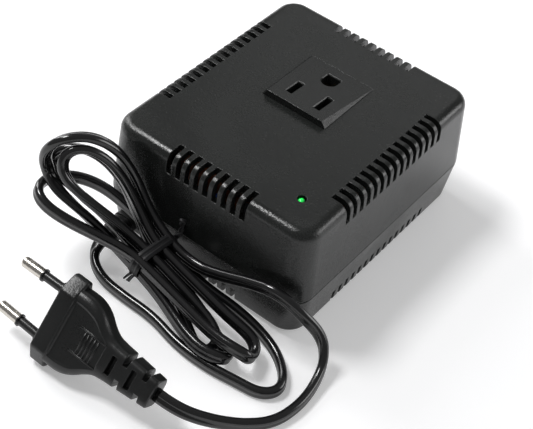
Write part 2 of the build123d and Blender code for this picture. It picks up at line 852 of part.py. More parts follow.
clamp_bore_r = bolt_r + bolt_gap
with BuildPart() as clamp_plate:
    with BuildSketch(ring_plane):
        Polygon(
            (clamp_bore_r, dish_z),
            (dish_floor_r, dish_z),
            (dish_rim_r, clamp_z),
            (clamp_r, clamp_z),
            (clamp_r, clamp_z + clamp_t),
            (dish_rim_r, clamp_z + clamp_t),
            (dish_floor_r, dish_z + clamp_t),
            (clamp_bore_r, dish_z + clamp_t),
            align=None,
        )
    revolve(axis=ring_axis)
clamp_plate.part.label = "clamp_plate"
export_step(clamp_plate.part, "parts/clamp_plate.step")

with BuildPart() as nut_washer:
    with BuildSketch(ring_plane):
        ring_section(clamp_bore_r, washer_r, washer_z, nut_z)
    revolve(axis=ring_axis)
nut_washer.part.label = "nut_washer"
export_step(nut_washer.part, "parts/nut_washer.step")

with BuildPart() as centre_nut:
    with BuildSketch(Plane.XY.offset(nut_z)):
        with Locations((0, ring_y)):
            RegularPolygon(nut_af / 2, 6, major_radius=False)
            Circle(bolt_r + fit_gap, mode=Mode.SUBTRACT)
    extrude(amount=nut_h)
centre_nut.part.label = "centre_nut"
export_step(centre_nut.part, "parts/centre_nut.step")

with BuildPart() as centre_bolt:
    with BuildSketch(Plane.XY.offset(bolt_seat_z)):
        with Locations((0, ring_y)):
            Circle(bolt_r)
    extrude(amount=nut_z + nut_h + bolt_spare - bolt_seat_z)
    with BuildSketch(Plane.XY.offset(bolt_seat_z)):
        with Locations((0, ring_y)):
            RegularPolygon(bolt_head_r, 6)
    extrude(amount=-bolt_head_h)
    chamfer(centre_bolt.faces().sort_by(Axis.Z)[-1].edges(), bolt_r / 5)
centre_bolt.part.label = "centre_bolt"
export_step(centre_bolt.part, "parts/centre_bolt.step")

# Thermal cutout on the winding's top: X of its plane runs round the ring
cutout_dir = (cos(radians(cutout_turn)), sin(radians(cutout_turn)), 0)
cutout_plane = Plane(
    (
        cutout_ring_r * sin(radians(cutout_turn)),
        ring_y - cutout_ring_r * cos(radians(cutout_turn)),
        winding_top,
    ),
    x_dir=cutout_dir,
    z_dir=(0, 0, 1),
)
leg_z = cutout_h / 2
with BuildPart() as thermal_cutout:
    with Locations(cutout_plane):
        Box(cutout_l, cutout_w, cutout_h, align=(Align.CENTER, Align.CENTER, Align.MIN))
    fillet(thermal_cutout.edges().filter_by(Axis.Z), cutout_w / 6)
    tube(
        [
            cutout_plane.from_local_coords(p)
            for p in (
                (cutout_l / 2 - leg_r, 0, leg_z),
                (cutout_l / 2 + leg_l, 0, leg_z),
                (cutout_l / 2 + leg_l, 0, 0),
            )
        ],
        leg_r,
    )
thermal_cutout.part.label = "thermal_cutout"
export_step(thermal_cutout.part, "parts/thermal_cutout.step")

with BuildPart() as cutout_strap:
    strap_plane = Plane(
        cutout_plane.from_local_coords((-strap_w / 2, 0, 0)),
        x_dir=cutout_plane.y_dir,
        z_dir=cutout_plane.x_dir,
    )
    with BuildSketch(strap_plane):
        Polygon(
            (0, cutout_h),
            (cutout_w / 2, cutout_h),
            (cutout_w / 2, 0),
            (cutout_w / 2 + strap_t + strap_foot, 0),
            (cutout_w / 2 + strap_t + strap_foot, strap_t),
            (cutout_w / 2 + strap_t, strap_t),
            (cutout_w / 2 + strap_t, cutout_h + strap_t),
            (0, cutout_h + strap_t),
            align=None,
        )
        mirror(about=Plane.YZ)
    extrude(amount=strap_w)
cutout_strap.part.label = "cutout_strap"
export_step(cutout_strap.part, "parts/cutout_strap.step")

splice_end_x = splice_x + splice_l
splice_top = splice_z + splice_pitch
with BuildPart() as splice_caps:
    with BuildSketch(Plane((splice_x, splice_y, splice_z), z_dir=(1, 0, 0))):
        Circle(splice_r)
    extrude(amount=splice_l)
    with BuildSketch(Plane((splice_x, splice_y, splice_top), z_dir=(1, 0, 0))):
        Circle(splice_r)
    extrude(amount=splice_l)
    fillet(splice_caps.edges().filter_by(GeomType.CIRCLE), splice_r / 4)
splice_caps.part.label = "splice_caps"
export_step(splice_caps.part, "parts/splice_caps.step")

# Leads inside the case, laid by hand between the ends that other pieces give
lead_y = seat_y + bushing_collar_t
with BuildPart() as input_lead_blue:
    tube(
        (
            (bushing_x - lead_spread, lead_y, bushing_z),
            (bushing_x - lead_spread, lead_y + 1.75 * lead_r, bushing_z),
            (-33.8, splice_y + lead_bow, 12.6),
            (-29.5, splice_y, splice_top),
            (splice_x, splice_y, splice_top),
        ),
        lead_r,
    )
    tube(
        (
            (splice_end_x, splice_y, splice_top),
            (-6.0, splice_y, splice_top),
            (-3.0, splice_y - lead_sag, 22.0),
            (-3.0, splice_y + lead_r, 30.2),
            (-3.0, ring_y - cutout_ring_r, 31.6),
            (-3.0, ring_y - cutout_ring_r, winding_top),
        ),
        lead_r,
    )
input_lead_blue.part.label = "input_lead_blue"
export_step(input_lead_blue.part, "parts/input_lead_blue.step")

cutout_end = cutout_plane.from_local_coords((-cutout_l / 2, 0, leg_z))
cutout_before = cutout_plane.from_local_coords((-cutout_l / 2 - 2 * lead_r, 0, leg_z))
with BuildPart() as input_lead_brown:
    tube(
        (
            (bushing_x + lead_spread, lead_y, bushing_z),
            (bushing_x + lead_spread, splice_y + lead_bow + lead_r, bushing_z),
            (-28.0, splice_y + lead_bow + lead_r, 6.7),
            (-26.8, splice_y, splice_z),
            (splice_x, splice_y, splice_z),
        ),
        lead_r,
    )
    tube(
        (
            (splice_end_x, splice_y, splice_z),
            (-1.0, splice_y, splice_z),
            (5.5, splice_y - lead_sag, 13.0),
            (5.5, splice_y - lead_sag, 23.0),
            (1.5, splice_y + 1.4 * lead_r, 29.0),
            tuple(cutout_before),
            tuple(cutout_end),
        ),
        lead_r,
    )
input_lead_brown.part.label = "input_lead_brown"
export_step(input_lead_brown.part, "parts/input_lead_brown.step")

# A lead from each blade contact's tail down to the winding
tail_side = blade_x + contact_t / 2
tail_z = carrier_z - (carrier_z - (contact_z - carrier_floor_t - tail_drop)) / 2
output_lead_x = 28.5
output_lead_y = 4.0
output_lead_out = 8.0
with BuildPart() as output_lead_line:
    tube(
        (
            (-tail_side, blade_y, tail_z),
            (-tail_side - output_lead_out, blade_y, tail_z),
            (-output_lead_x, output_lead_y, tail_z),
            (-output_lead_x, output_lead_y, winding_top),
        ),
        lead_r,
    )
output_lead_line.part.label = "output_lead_line"
export_step(output_lead_line.part, "parts/output_lead_line.step")

with BuildPart() as output_lead_neutral:
    tube(
        (
            (tail_side, blade_y, tail_z),
            (tail_side + output_lead_out, blade_y, tail_z),
            (output_lead_x, output_lead_y, tail_z),
            (output_lead_x, output_lead_y, winding_top),
        ),
        lead_r,
    )
output_lead_neutral.part.label = "output_lead_neutral"
export_step(output_lead_neutral.part, "parts/output_lead_neutral.step")

# Bushing: a collar inside the seat, a neck through the wall and tapering rings outside
bushing_out_y = -(base_d / 2 + wall_lean * (bushing_z + bushing_hh - foot_h) + fit_gap)


def bushing_plane(y):
    """Plane across the bushing, facing out of the case."""
    return Plane((bushing_x, y, bushing_z), x_dir=(1, 0, 0), z_dir=(0, -1, 0))


def bushing_size(y, inset):
    """Half width and half height of the bushing's taper at one place, less an inset."""
    share = (y - bushing_out_y) / (bushing_end_y - bushing_out_y)
    hw = bushing_hw + share * (bushing_tip_hw - bushing_hw) - inset
    hh = bushing_hh + share * (bushing_tip_hh - bushing_hh) - inset
    return hw, hh


with BuildPart() as cord_bushing:
    with BuildSketch(bushing_plane(lead_y)):
        RectangleRounded(2 * (bushing_hw + bushing_collar), 2 * neck_hh_in, neck_hh_in / 2)
    extrude(amount=bushing_collar_t)
    with BuildSketch(bushing_plane(seat_y)):
        RectangleRounded(2 * neck_hw_in, 2 * neck_hh_in, neck_hh_in - fit_gap)
    extrude(amount=seat_y - bushing_out_y)
    with BuildSketch(bushing_plane(bushing_out_y)):
        neck_hw, neck_hh = bushing_size(bushing_out_y, bushing_groove)
        RectangleRounded(2 * neck_hw, 2 * neck_hh, neck_hh - fit_gap)
    with BuildSketch(bushing_plane(bushing_end_y)):
        end_hw, end_hh = bushing_size(bushing_end_y, bushing_groove / 2)
        RectangleRounded(2 * end_hw, 2 * end_hh, end_hh - fit_gap)
    loft()
    ring_pitch = (bushing_out_y - bushing_end_y) / (bushing_rings - 1 + ring_share)
    for ring in range(bushing_rings):
        ring_y0 = bushing_out_y - ring * ring_pitch
        with BuildSketch(bushing_plane(ring_y0)):
            ring_hw, ring_hh = bushing_size(ring_y0, 0)
            RectangleRounded(2 * ring_hw, 2 * ring_hh, ring_hh - fit_gap)
        extrude(amount=ring_pitch * ring_share)
cord_bushing.part.label = "cord_bushing"
export_step(cord_bushing.part, "parts/cord_bushing.step")

# Hank's path: a frame at the waist, one function for every loop, biarcs between stations on it
bearing = radians(waist_bearing)
slope = radians(waist_slope)
along = Vector(cos(bearing) * cos(slope), sin(bearing) * cos(slope), -sin(slope))
across = Vector(-sin(bearing), cos(bearing), 0)
upright = along.cross(across)


def waist_point(s, w, n, lean):
    """Point at s along the waist, w across the bundle and n through it, at one lean."""
    t = radians(lean)
    w_dir = across * cos(t) + upright * sin(t)
    n_dir = upright * cos(t) - across * sin(t)
    return Vector(waist_at) + along * s + w_dir * w + n_dir * n


def loop_point(index, u):
    """Point on one loop, where u runs from 0 at the waist through the tip to 1 at the waist."""
    side, reach, belly, tip_lean, lift, sway, shift, bulge, round_share = hank_loops[index]
    w0, n0 = [a * b for a, b in zip(waist_slots[index], (slot_pitch_w, slot_pitch_n))]
    w1, n1 = [a * b for a, b in zip(waist_slots[index + 1], (slot_pitch_w, slot_pitch_n))]
    angle = pi * u
    blend = (1 - cos(angle)) / 2
    swell = sin(angle) ** 2
    turn = 1 if w0 > w1 else -1
    s = side * reach * abs(sin(angle)) ** round_share
    w = w0 + (w1 - w0) * blend + (turn * belly * cos(angle) + shift) * swell
    n = n0 + (n1 - n0) * blend + bulge * swell
    lean = waist_lean + (tip_lean - waist_lean) * swell
    return waist_point(s, w, n, lean) + Vector(0, sway * swell, lift * swell)


def biarc_joint(p0, t0, p1, t1):
    """Where two arcs meet that join two points with given directions, with equal arms."""
    v = p1 - p0
    t = t0 + t1
    slack = 2 * (1 - t0.dot(t1))
    vt = v.dot(t)
    arm = (sqrt(vt**2 + slack * v.dot(v)) - vt) / slack
    a = p0 + t0 * arm
    b = p1 - t1 * arm
    return (a + b) / 2, (b - a).normalized()


def loop_stations_of(index):
    """Points and directions on one loop, the first at the waist and the last before it."""
    step = 1e-4
    side = hank_loops[index][0]
    found = [(loop_point(index, 0), along * side)]
    for share in station_shares:
        ahead = loop_point(index, share + step)
        behind = loop_point(index, share - step)
        found.append((loop_point(index, share), (ahead - behind).normalized()))
    return found


stations = []
for loop_index in range(len(hank_loops)):
    stations += loop_stations_of(loop_index)
last_w, last_n = waist_slots[-1]
hank_out = waist_point(0, last_w * slot_pitch_w, last_n * slot_pitch_n, waist_lean)
stations.append((hank_out, along))
hank_in = stations[0][0]
hank_start = hank_in + along * cord_d
hank_end = hank_out + along * cord_d
with BuildLine() as hank_line:
    Line(hank_start, hank_in)
    for (p0, t0), (p1, t1) in zip(stations, stations[1:]):
        joint, joint_dir = biarc_joint(p0, t0, p1, t1)
        TangentArc(p0, joint, tangent=t0)
        TangentArc(joint, p1, tangent=joint_dir)
    Line(hank_out, hank_end)
hank_path = hank_line.wire()
with BuildPart() as cord_hank:
    with BuildSketch(Plane(hank_start, z_dir=-along)):
        Circle(cord_d / 2)
    sweep(path=hank_path)
cord_hank.part.label = "cord_hank"
export_step(cord_hank.part, "parts/cord_hank.step")


def least_gap(path, diameter):
    """Least gap between a tube and itself, at points three diameters or more apart on its path."""
    per_diameter = 4
    count = int(per_diameter * path.length / diameter)
    points = [tuple(path @ (i / count)) for i in range(count + 1)]
    nearest = min(
        (a[0] - b[0]) ** 2 + (a[1] - b[1]) ** 2 + (a[2] - b[2]) ** 2
        for i, a in enumerate(points)
        for b in points[i + 3 * per_diameter :]
    )
    return sqrt(nearest) - diameter


cord_area = pi * cord_d**2 / 4
arc_radii = [e.radius for e in hank_path.edges() if e.geom_type == GeomType.CIRCLE]
print(f"cord_hank: length {hank_path.length:.0f}, arcs from radius {min(arc_radii):.1f},")
print(f"  volume {cord_hank.part.volume:.0f} of {cord_area * hank_path.length:.0f},")
print(f"  least gap to itself {least_gap(hank_path, cord_d):.2f}")

# Tie round the waist, with a groove between its two wraps and a twisted tail
waist_w_dir = waist_point(0, 1, 0, waist_lean) - Vector(waist_at)
tie_plane = Plane(Vector(waist_at), x_dir=waist_w_dir, z_dir=along)
tie_hw = slot_pitch_w * max(w for w, n in waist_slots) + cord_d / 2 + tie_gap
tie_hn = slot_pitch_n * max(n for w, n in waist_slots) + cord_d / 2 + tie_gap


def tie_ring(grow):
    """Ring round the bundle, by so much thicker than the tie's own thickness."""
    outer = tie_t + grow
    RectangleRounded(2 * (tie_hw + outer), 2 * (tie_hn + outer), cord_d / 2 + outer)
    RectangleRounded(2 * tie_hw, 2 * tie_hn, cord_d / 2, mode=Mode.SUBTRACT)


with BuildPart() as cord_tie:
    with BuildSketch(tie_plane.offset(-tie_w / 2)):
        tie_ring(0)
    extrude(amount=tie_w)
    for wrap in (-1, 1):
        with BuildSketch(tie_plane.offset(wrap * tie_w / 4 - tie_w / 6)):
            tie_ring(tie_nick)
        extrude(amount=tie_w / 3)
    with BuildSketch(tie_plane.offset(-tie_tail_w / 2)):
        with Locations((tie_hw + tie_t - tie_tail_t / 2, tie_hn)):
            Rectangle(tie_tail_t, tie_tail_l, align=(Align.CENTER, Align.MIN))
    extrude(amount=tie_tail_w)
cord_tie.part.label = "cord_tie"
export_step(cord_tie.part, "parts/cord_tie.step")

# Plug: its frame is turned about Z, then Y, then X, and the plug lies on the rim of its face
plug_frame = (
    Location(plug_at)
    * Location((0, 0, 0), (0, 0, plug_yaw))
    * Location((0, 0, 0), (0, plug_pitch, 0))
    * Location((0, 0, 0), (plug_roll, 0, 0))
)
plug_plane = Plane(plug_frame)


def plug_section(x):
    """Plane across the plug, facing the cord: X along the plug's Y and Y along its Z."""
    at = plug_plane.from_local_coords((x, 0, 0))
    return Plane(at, x_dir=plug_plane.y_dir, z_dir=plug_plane.x_dir)


def pin_plane(side, out):
    """Plane across one pin, that far out from its root. The two pins lean together."""
    root = plug_plane.from_local_coords((0, side * pin_root_span / 2, 0))
    tip = plug_plane.from_local_coords((-pin_l, side * pin_tip_span / 2, 0))
    return Plane(root, x_dir=plug_plane.z_dir, z_dir=tip - root).offset(out)


with BuildPart() as plug_flange:
    with BuildSketch(plug_section(0)):
        Polygon(
            (-plug_face_flat_hw, -plug_face_ht),
            (plug_face_flat_hw, -plug_face_ht),
            (plug_face_hw, -plug_edge_t / 2),
            (plug_face_hw, plug_edge_t / 2),
            (plug_face_flat_hw, plug_face_ht),
            (-plug_face_flat_hw, plug_face_ht),
            (-plug_face_hw, plug_edge_t / 2),
            (-plug_face_hw, -plug_edge_t / 2),
            align=None,
        )
    extrude(amount=plug_face_t)
    fillet(plug_flange.edges(), plug_edge_r)

with BuildPart() as plug_body:
    # shoulders, from the face back to the neck, with rounded rims
    with BuildSketch(plug_plane.offset(-body_ht)) as shoulders:
        with BuildLine():
            curve = Spline(
                *[
                    (plug_face_t + x * (neck_x - plug_face_t), neck_hw + y * (body_hw - neck_hw))
                    for x, y in shoulder_shares
                ],
                tangents=((1, 0), (1, -neck_fall)),
            )
            Polyline((plug_face_t / 2, 0), (plug_face_t / 2, body_hw), curve @ 0)
            Line(curve @ 1, (neck_x, 0))
            mirror(about=Plane.XZ)
        make_face()
    extrude(amount=2 * body_ht)
    faces = plug_body.faces().sort_by(Axis(plug_at, plug_plane.z_dir))
    fillet(faces[0].edges() + faces[-1].edges(), body_edge_r)
    add(plug_flange.part)
    # strain relief, with windows in turn through its faces and its sides
    with BuildSketch(plug_section(neck_x - body_edge_r)):
        RectangleRounded(2 * neck_hw, 2 * neck_ht, body_edge_r)
    with BuildSketch(plug_section(plug_l)):
        RectangleRounded(2 * tip_hw, 2 * tip_ht, body_edge_r)
    loft(ruled=True)
    relief_pitch = (plug_l - neck_x) / relief_cuts
    for cut in range(relief_cuts):
        cut_x = neck_x + (cut + relief_rim_share) * relief_pitch
        with BuildSketch(plug_section(cut_x)):
            for side in (-1, 1):
                if cut % 2 == 0:
                    with Locations((0, side * relief_core)):
                        Rectangle(
                            2 * (tip_hw - relief_rail),
                            neck_ht,
                            align=(Align.CENTER, Align.MIN if side > 0 else Align.MAX),
                        )
                else:
                    with Locations((side * relief_core, 0)):
                        Rectangle(
                            neck_hw,
                            2 * (tip_ht - relief_rail),
                            align=(Align.MIN if side > 0 else Align.MAX, Align.CENTER),
                        )
        extrude(amount=relief_pitch * relief_cut_share, mode=Mode.SUBTRACT)
    # sunk grip panel on both faces, with two ridges and cross ribs
    for side in (-1, 1):
        panel_z = side * (body_ht - panel_sink)
        with BuildSketch(plug_plane.offset(panel_z)):
            Polygon(
                *[
                    (plug_face_t + x * (neck_x - plug_face_t), y * body_hw)
                    for x, y in panel_shares
                ],
                *[
                    (plug_face_t + x * (neck_x - plug_face_t), -y * body_hw)
                    for x, y in reversed(panel_shares)
                ],
                align=None,
            )
        extrude(amount=side * cut_over, mode=Mode.SUBTRACT)
        with BuildSketch(plug_plane.offset(panel_z)):
            with Locations((ridge_x, -grip_hw), (ridge_x, grip_hw)):
                Rectangle(ridge_l, grip_rib_t, align=(Align.MIN, Align.CENTER))
            with Locations((ridge_x + ridge_l / 2, 0)):
                with GridLocations(grip_pitch, grip_pitch, grip_ribs, 1):
                    Rectangle(grip_rib_t, 2 * grip_hw)
        extrude(amount=side * grip_rib_h)
    # socket for the pins' bridge, and bores for the pins' roots
    with BuildSketch(plug_section(0)):
        RectangleRounded(
            2 * (bridge_hw + fit_gap), 2 * (bridge_ht + fit_gap), bridge_ht
        )
    extrude(amount=bridge_t, mode=Mode.SUBTRACT)
    for side in (-1, 1):
        with BuildSketch(pin_plane(side, 0)):
            Circle(pin_neck_r + fit_gap)
        extrude(amount=-(pin_bury + fit_gap), mode=Mode.SUBTRACT)
plug_body.part.label = "plug_body"
export_step(plug_body.part, "parts/plug_body.step")
print(f"plug's lowest point {plug_body.part.bounding_box().min.Z:.3f}")

with BuildPart() as pin_carrier:
    with BuildSketch(plug_section(0)):
        RectangleRounded(2 * bridge_hw, 2 * bridge_ht, bridge_ht - fit_gap)
    extrude(amount=bridge_t)
    for side in (-1, 1):
        with BuildSketch(pin_plane(side, cut_over)):
            Circle(pin_neck_r + fit_gap)
        extrude(amount=-(cut_over + pin_bury), mode=Mode.SUBTRACT)
pin_carrier.part.label = "pin_carrier"
export_step(pin_carrier.part, "parts/pin_carrier.step")

with BuildPart() as plug_pins:
    for side in (-1, 1):
        with BuildSketch(pin_plane(side, -pin_bury)):
            Circle(pin_neck_r)
        extrude(amount=pin_bury + pin_l - pin_bare)
        with BuildSketch(pin_plane(side, pin_l - pin_bare)):
            Circle(pin_r)
        bare = extrude(amount=pin_bare)
        fillet(bare.faces().sort_by(Axis(plug_at, plug_plane.x_dir))[0].edges(), pin_tip_r)
plug_pins.part.label = "plug_pins"
export_step(plug_pins.part, "parts/plug_pins.step")

with BuildPart() as pin_sleeves:
    for side in (-1, 1):
        with BuildSketch(pin_plane(side, fit_gap)):
            Circle(sleeve_r)
            Circle(pin_neck_r + fit_gap, mode=Mode.SUBTRACT)
        extrude(amount=pin_l - pin_bare - fit_gap)
        for along_pin, ring_l in (
            (fit_gap, sleeve_collar_l),
            (pin_l - pin_bare - sleeve_lip_l, sleeve_lip_l),
        ):
            with BuildSketch(pin_plane(side, along_pin)):
                Circle(sleeve_collar_r)
                Circle(pin_neck_r + fit_gap, mode=Mode.SUBTRACT)
            extrude(amount=ring_l)
pin_sleeves.part.label = "pin_sleeves"
export_step(pin_sleeves.part, "parts/pin_sleeves.step")

# Free stretches of the lead
relief_end = plug_plane.from_local_coords((plug_l, 0, 0))
relief_out = plug_plane.from_local_coords((plug_l + 2 * cord_d, 0, 0))
box_points = [(bushing_x, bushing_end_y, bushing_z), *box_route, hank_end + along * cord_d, hank_end]
with BuildPart() as cord_box_end:
    box_l = tube(box_points, cord_d / 2)
cord_box_end.part.label = "cord_box_end"
export_step(cord_box_end.part, "parts/cord_box_end.step")

plug_points = [hank_start, hank_start + along * cord_d, *plug_route, relief_out, relief_end]
with BuildPart() as cord_plug_end:
    plug_end_l = tube(plug_points, cord_d / 2)
cord_plug_end.part.label = "cord_plug_end"
export_step(cord_plug_end.part, "parts/cord_plug_end.step")

for node, points, length in (
    (cord_box_end, box_points, box_l),
    (cord_plug_end, plug_points, plug_end_l),
):
    radii = ", ".join(f"{r:.1f}" for r in bend_radii(points))
    print(f"{node.part.label}: length {length:.0f}, bend radii {radii},")
    print(f"  volume {node.part.volume:.0f} of {cord_area * length:.0f}")
print(f"lead in all {box_l + hank_path.length + plug_end_l:.0f}")
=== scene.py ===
"""A travel voltage converter with its tied lead and plug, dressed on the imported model.

Sizes are in metres, in the pack's frame: Z up, the floor at zero, the case's long side along Y.
"""

import json
import math

import bpy
import numpy as np
from mathutils import Matrix, Vector


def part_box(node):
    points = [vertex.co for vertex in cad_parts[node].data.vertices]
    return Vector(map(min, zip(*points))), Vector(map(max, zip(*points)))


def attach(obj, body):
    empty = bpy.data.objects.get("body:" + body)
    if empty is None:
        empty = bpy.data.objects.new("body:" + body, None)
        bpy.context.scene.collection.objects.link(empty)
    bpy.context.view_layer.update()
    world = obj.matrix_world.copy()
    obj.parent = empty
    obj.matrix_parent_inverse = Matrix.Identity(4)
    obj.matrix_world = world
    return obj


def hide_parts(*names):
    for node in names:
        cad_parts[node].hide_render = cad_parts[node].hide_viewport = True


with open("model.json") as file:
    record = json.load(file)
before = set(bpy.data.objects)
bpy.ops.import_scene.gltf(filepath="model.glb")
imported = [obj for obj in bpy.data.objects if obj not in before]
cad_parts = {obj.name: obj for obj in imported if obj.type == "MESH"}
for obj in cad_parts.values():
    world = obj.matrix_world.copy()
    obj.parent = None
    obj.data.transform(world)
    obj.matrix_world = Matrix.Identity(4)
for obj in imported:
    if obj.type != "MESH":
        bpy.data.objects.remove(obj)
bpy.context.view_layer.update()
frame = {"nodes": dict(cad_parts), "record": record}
nodes = frame["nodes"]


# Meshes from whole arrays


def mesh_piece(name, corners, quads):
    """A smooth piece from corners (n, 3) and quads (m, 4), riding on the one body."""
    mesh = bpy.data.meshes.new(name)
    mesh.vertices.add(len(corners))
    mesh.vertices.foreach_set("co", np.asarray(corners, np.float32).ravel())
    mesh.loops.add(quads.size)
    mesh.loops.foreach_set("vertex_index", quads.astype(np.int32).ravel())
    mesh.polygons.add(len(quads))
    mesh.polygons.foreach_set("loop_start", np.arange(0, quads.size, 4, dtype=np.int32))
    mesh.polygons.foreach_set("use_smooth", np.full(len(quads), True))
    mesh.update(calc_edges=True)
    mesh.validate()
    piece = bpy.data.objects.new(name, mesh)
    bpy.context.collection.objects.link(piece)
    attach(piece, "root")
    return piece


def grid_quads(rows, columns, first=0):
    """Quads of a grid of corners, row by row, where each row closes on its own start."""
    i = np.arange(rows - 1)[:, None]
    j = np.arange(columns)[None, :]
    here = i * columns + j
    beside = i * columns + (j + 1) % columns
    quads = np.stack([here, beside, beside + columns, here + columns], -1)
    return first + quads.reshape(-1, 4)


def join(grids):
    """Corners and quads of several grids (rows, columns, 3) as one."""
    corners, quads, first = [], [], 0
    for grid in grids:
        rows, columns = grid.shape[:2]
        corners.append(grid.reshape(-1, 3))
        quads.append(grid_quads(rows, columns, first))
        first += rows * columns
    return np.concatenate(corners), np.concatenate(quads)


def unit(v):
    """Each vector at length one."""
    return v / np.linalg.norm(v, axis=-1, keepdims=True)


def full_turn(steps):
    """Angles at even steps of a full turn."""
    return np.arange(steps) * 2 * np.pi / steps


def superellipse(angle, half_w, half_h, power):
    """x and y of |x / half_w| ^ power + |y / half_h| ^ power = 1 at an array of angles."""
    c, s = np.cos(angle), np.sin(angle)
    x = half_w * np.sign(c) * np.abs(c) ** (2 / power)
    y = half_h * np.sign(s) * np.abs(s) ** (2 / power)
    return x, y


def flat_profile(core_r, core_off, steps):
    """Outline of a flat twin cord: two circles of core_r whose middles stand core_off to each
    side, cut where they meet, which leaves a groove along both faces."""
    meet = math.acos(-core_off / core_r)
    angle = np.linspace(-meet, meet, steps)[:-1]
    right = np.stack([core_off + core_r * np.cos(angle), core_r * np.sin(angle)], 1)
    return np.concatenate([right, -right])


def carried(path, wide, profile):
    """A profile carried along a path: point = path + wide * x + thin * y, where wide is turned
    square to the path and thin is square to both. The profile is one outline of (x, y), or one
    for each point of the path. Both ends close on their middle."""
    along = unit(np.gradient(path, axis=0))
    wide = unit(wide - along * np.sum(wide * along, axis=1, keepdims=True))
    thin = np.cross(along, wide)
    profile = np.broadcast_to(profile, (len(path),) + np.shape(profile)[-2:])
    tube = path[:, None] + wide[:, None] * profile[..., :1] + thin[:, None] * profile[..., 1:]
    ends = [np.broadcast_to(path[i], tube[:1].shape) for i in (0, -1)]
    return np.concatenate([ends[0], tube, ends[1]])


# Shader nodes


def feed(tree, socket, value):
    """Link an input to a socket, or set it to a number or a colour."""
    if hasattr(value, "links"):
        tree.links.new(value, socket)
    else:
        socket.default_value = value


def add_node(tree, kind, inputs, **settings):
    """A node with its settings, and its inputs fed by name or place."""
    node = tree.nodes.new(kind)
    for name, value in settings.items():
        setattr(node, name, value)
    for name, value in inputs.items():
        feed(tree, node.inputs[name], value)
    return node


def maths(tree, kind, *values):
    """A Math node of one kind on sockets or numbers."""
    return add_node(tree, "ShaderNodeMath", dict(enumerate(values)), operation=kind).outputs[0]


def remapped(tree, value, low, high):
    """A value taken to 0 at low and to 1 at high, and held between them."""
    inputs = {"Value": value, "From Min": low, "From Max": high}
    return add_node(tree, "ShaderNodeMapRange", inputs).outputs["Result"]


def noise(tree, where, scale, detail, roughness=0.5):
    """A noise between 0 and 1 at a scale per metre."""
    inputs = {"Vector": where, "Scale": scale, "Detail": detail, "Roughness": roughness}
    return add_node(tree, "ShaderNodeTexNoise", inputs).outputs["Fac"]


def mixed(tree, share, a, b):
    """The colour that lies a share of the way from a to b, which are colours or sockets."""
    colour_a, colour_b, result = 6, 7, 2
    a, b = (v if hasattr(v, "links") else (*v, 1) for v in (a, b))
    inputs = {"Factor": share, colour_a: a, colour_b: b}
    return add_node(tree, "ShaderNodeMix", inputs, data_type="RGBA").outputs[result]


def object_place(tree):
    """Places on an object, in metres."""
    return tree.nodes.new("ShaderNodeTexCoord").outputs["Object"]


def node_group(name, inputs, outputs, normals=()):
    """An empty shader group with float inputs (name, value), float outputs and outputs that
    are normals, and its ends."""
    group = bpy.data.node_groups.new(name, "ShaderNodeTree")
    sockets = group.interface
    for label, value in inputs:
        socket = sockets.new_socket(name=label, in_out="INPUT", socket_type="NodeSocketFloat")
        socket.default_value = value
    for label in outputs:
        sockets.new_socket(name=label, in_out="OUTPUT", socket_type="NodeSocketFloat")
    for label in normals:
        sockets.new_socket(name=label, in_out="OUTPUT", socket_type="NodeSocketVector")
    return group, group.nodes.new("NodeGroupInput"), group.nodes.new("NodeGroupOutput")


def make_grain():
    """Moulded grain: fine pits with a wider waviness. Height is for the bump, and Tone varies
    round 0 with wide soft blotches and a little of the pits."""
    wave_share, pit_share, middle = 0.35, 0.5, 0.5
    group, start, end = node_group("moulded_grain", (("Pits per m", 2500),), ("Height", "Tone"))
    where = object_place(group)
    pits = noise(group, where, start.outputs["Pits per m"], detail=2.5, roughness=0.6)
    waves = noise(group, where, scale=420, detail=2)
    blotches = noise(group, where, scale=38, detail=3)
    feed(group, end.inputs["Height"], maths(group, "MULTIPLY_ADD", waves, wave_share, pits))
    blotches = maths(group, "SUBTRACT", blotches, middle)
    pits = maths(group, "SUBTRACT", pits, middle)
    feed(group, end.inputs["Tone"], maths(group, "MULTIPLY_ADD", pits, pit_share, blotches))
    return group


def make_wear_and_highlight():
    """Handling and easing: Eased is the normal as if every edge were rounded by Ease m, Rub is
    where that differs from the face's own, in patches, which marks edges for wear and for a
    painted highlight, and Dust is thin specks on what faces up."""
    group, start, end = node_group(
        "handling_and_edge_highlight", (("Ease m", 0.0003), ("Rub and highlight", 1), ("Dust", 1)), ("Rub and highlight", "Dust"), ("Eased",)
    )
    where = object_place(group)
    face = group.nodes.new("ShaderNodeNewGeometry").outputs["Normal"]
    bevel = add_node(group, "ShaderNodeBevel", {"Radius": start.outputs["Ease m"]}, samples=6)
    eased = bevel.outputs["Normal"]
    feed(group, end.inputs["Eased"], eased)
    along = add_node(group, "ShaderNodeVectorMath", {0: eased, 1: face}, operation="DOT_PRODUCT")
    edge = remapped(group, along.outputs["Value"], low=0.985, high=0.8)
    rub_and_highlight = maths(group, "MULTIPLY", edge, noise(group, where, scale=160, detail=3))
    feed(group, end.inputs["Rub and highlight"], maths(group, "MULTIPLY", rub_and_highlight, start.outputs["Rub and highlight"]))
    specks = remapped(group, noise(group, where, scale=1400, detail=1), low=0.66, high=0.8)
    facing = add_node(group, "ShaderNodeSeparateXYZ", {"Vector": face})
    dust = maths(group, "MULTIPLY", specks, maths(group, "MAXIMUM", facing.outputs["Z"], 0))
    feed(group, end.inputs["Dust"], maths(group, "MULTIPLY", dust, start.outputs["Dust"]))
    return group


# Finishes

grain, wear_and_highlight = make_grain(), make_wear_and_highlight()
# What tone, rub and dust do: shares of the colour, a gain and a lift of it, by which rubbed edges
# are painted paler as wear and as a painted highlight, and changes of roughness
tone_dark_share, tone_pale_share, tone_rougher = 0.7, 1.3, 0.5
rub_and_highlight_gain, rub_and_highlight_lift, rub_rougher = 1.6, 0.03, -0.12
dust_colour, dust_rougher = (0.3, 0.29, 0.27), 0.3


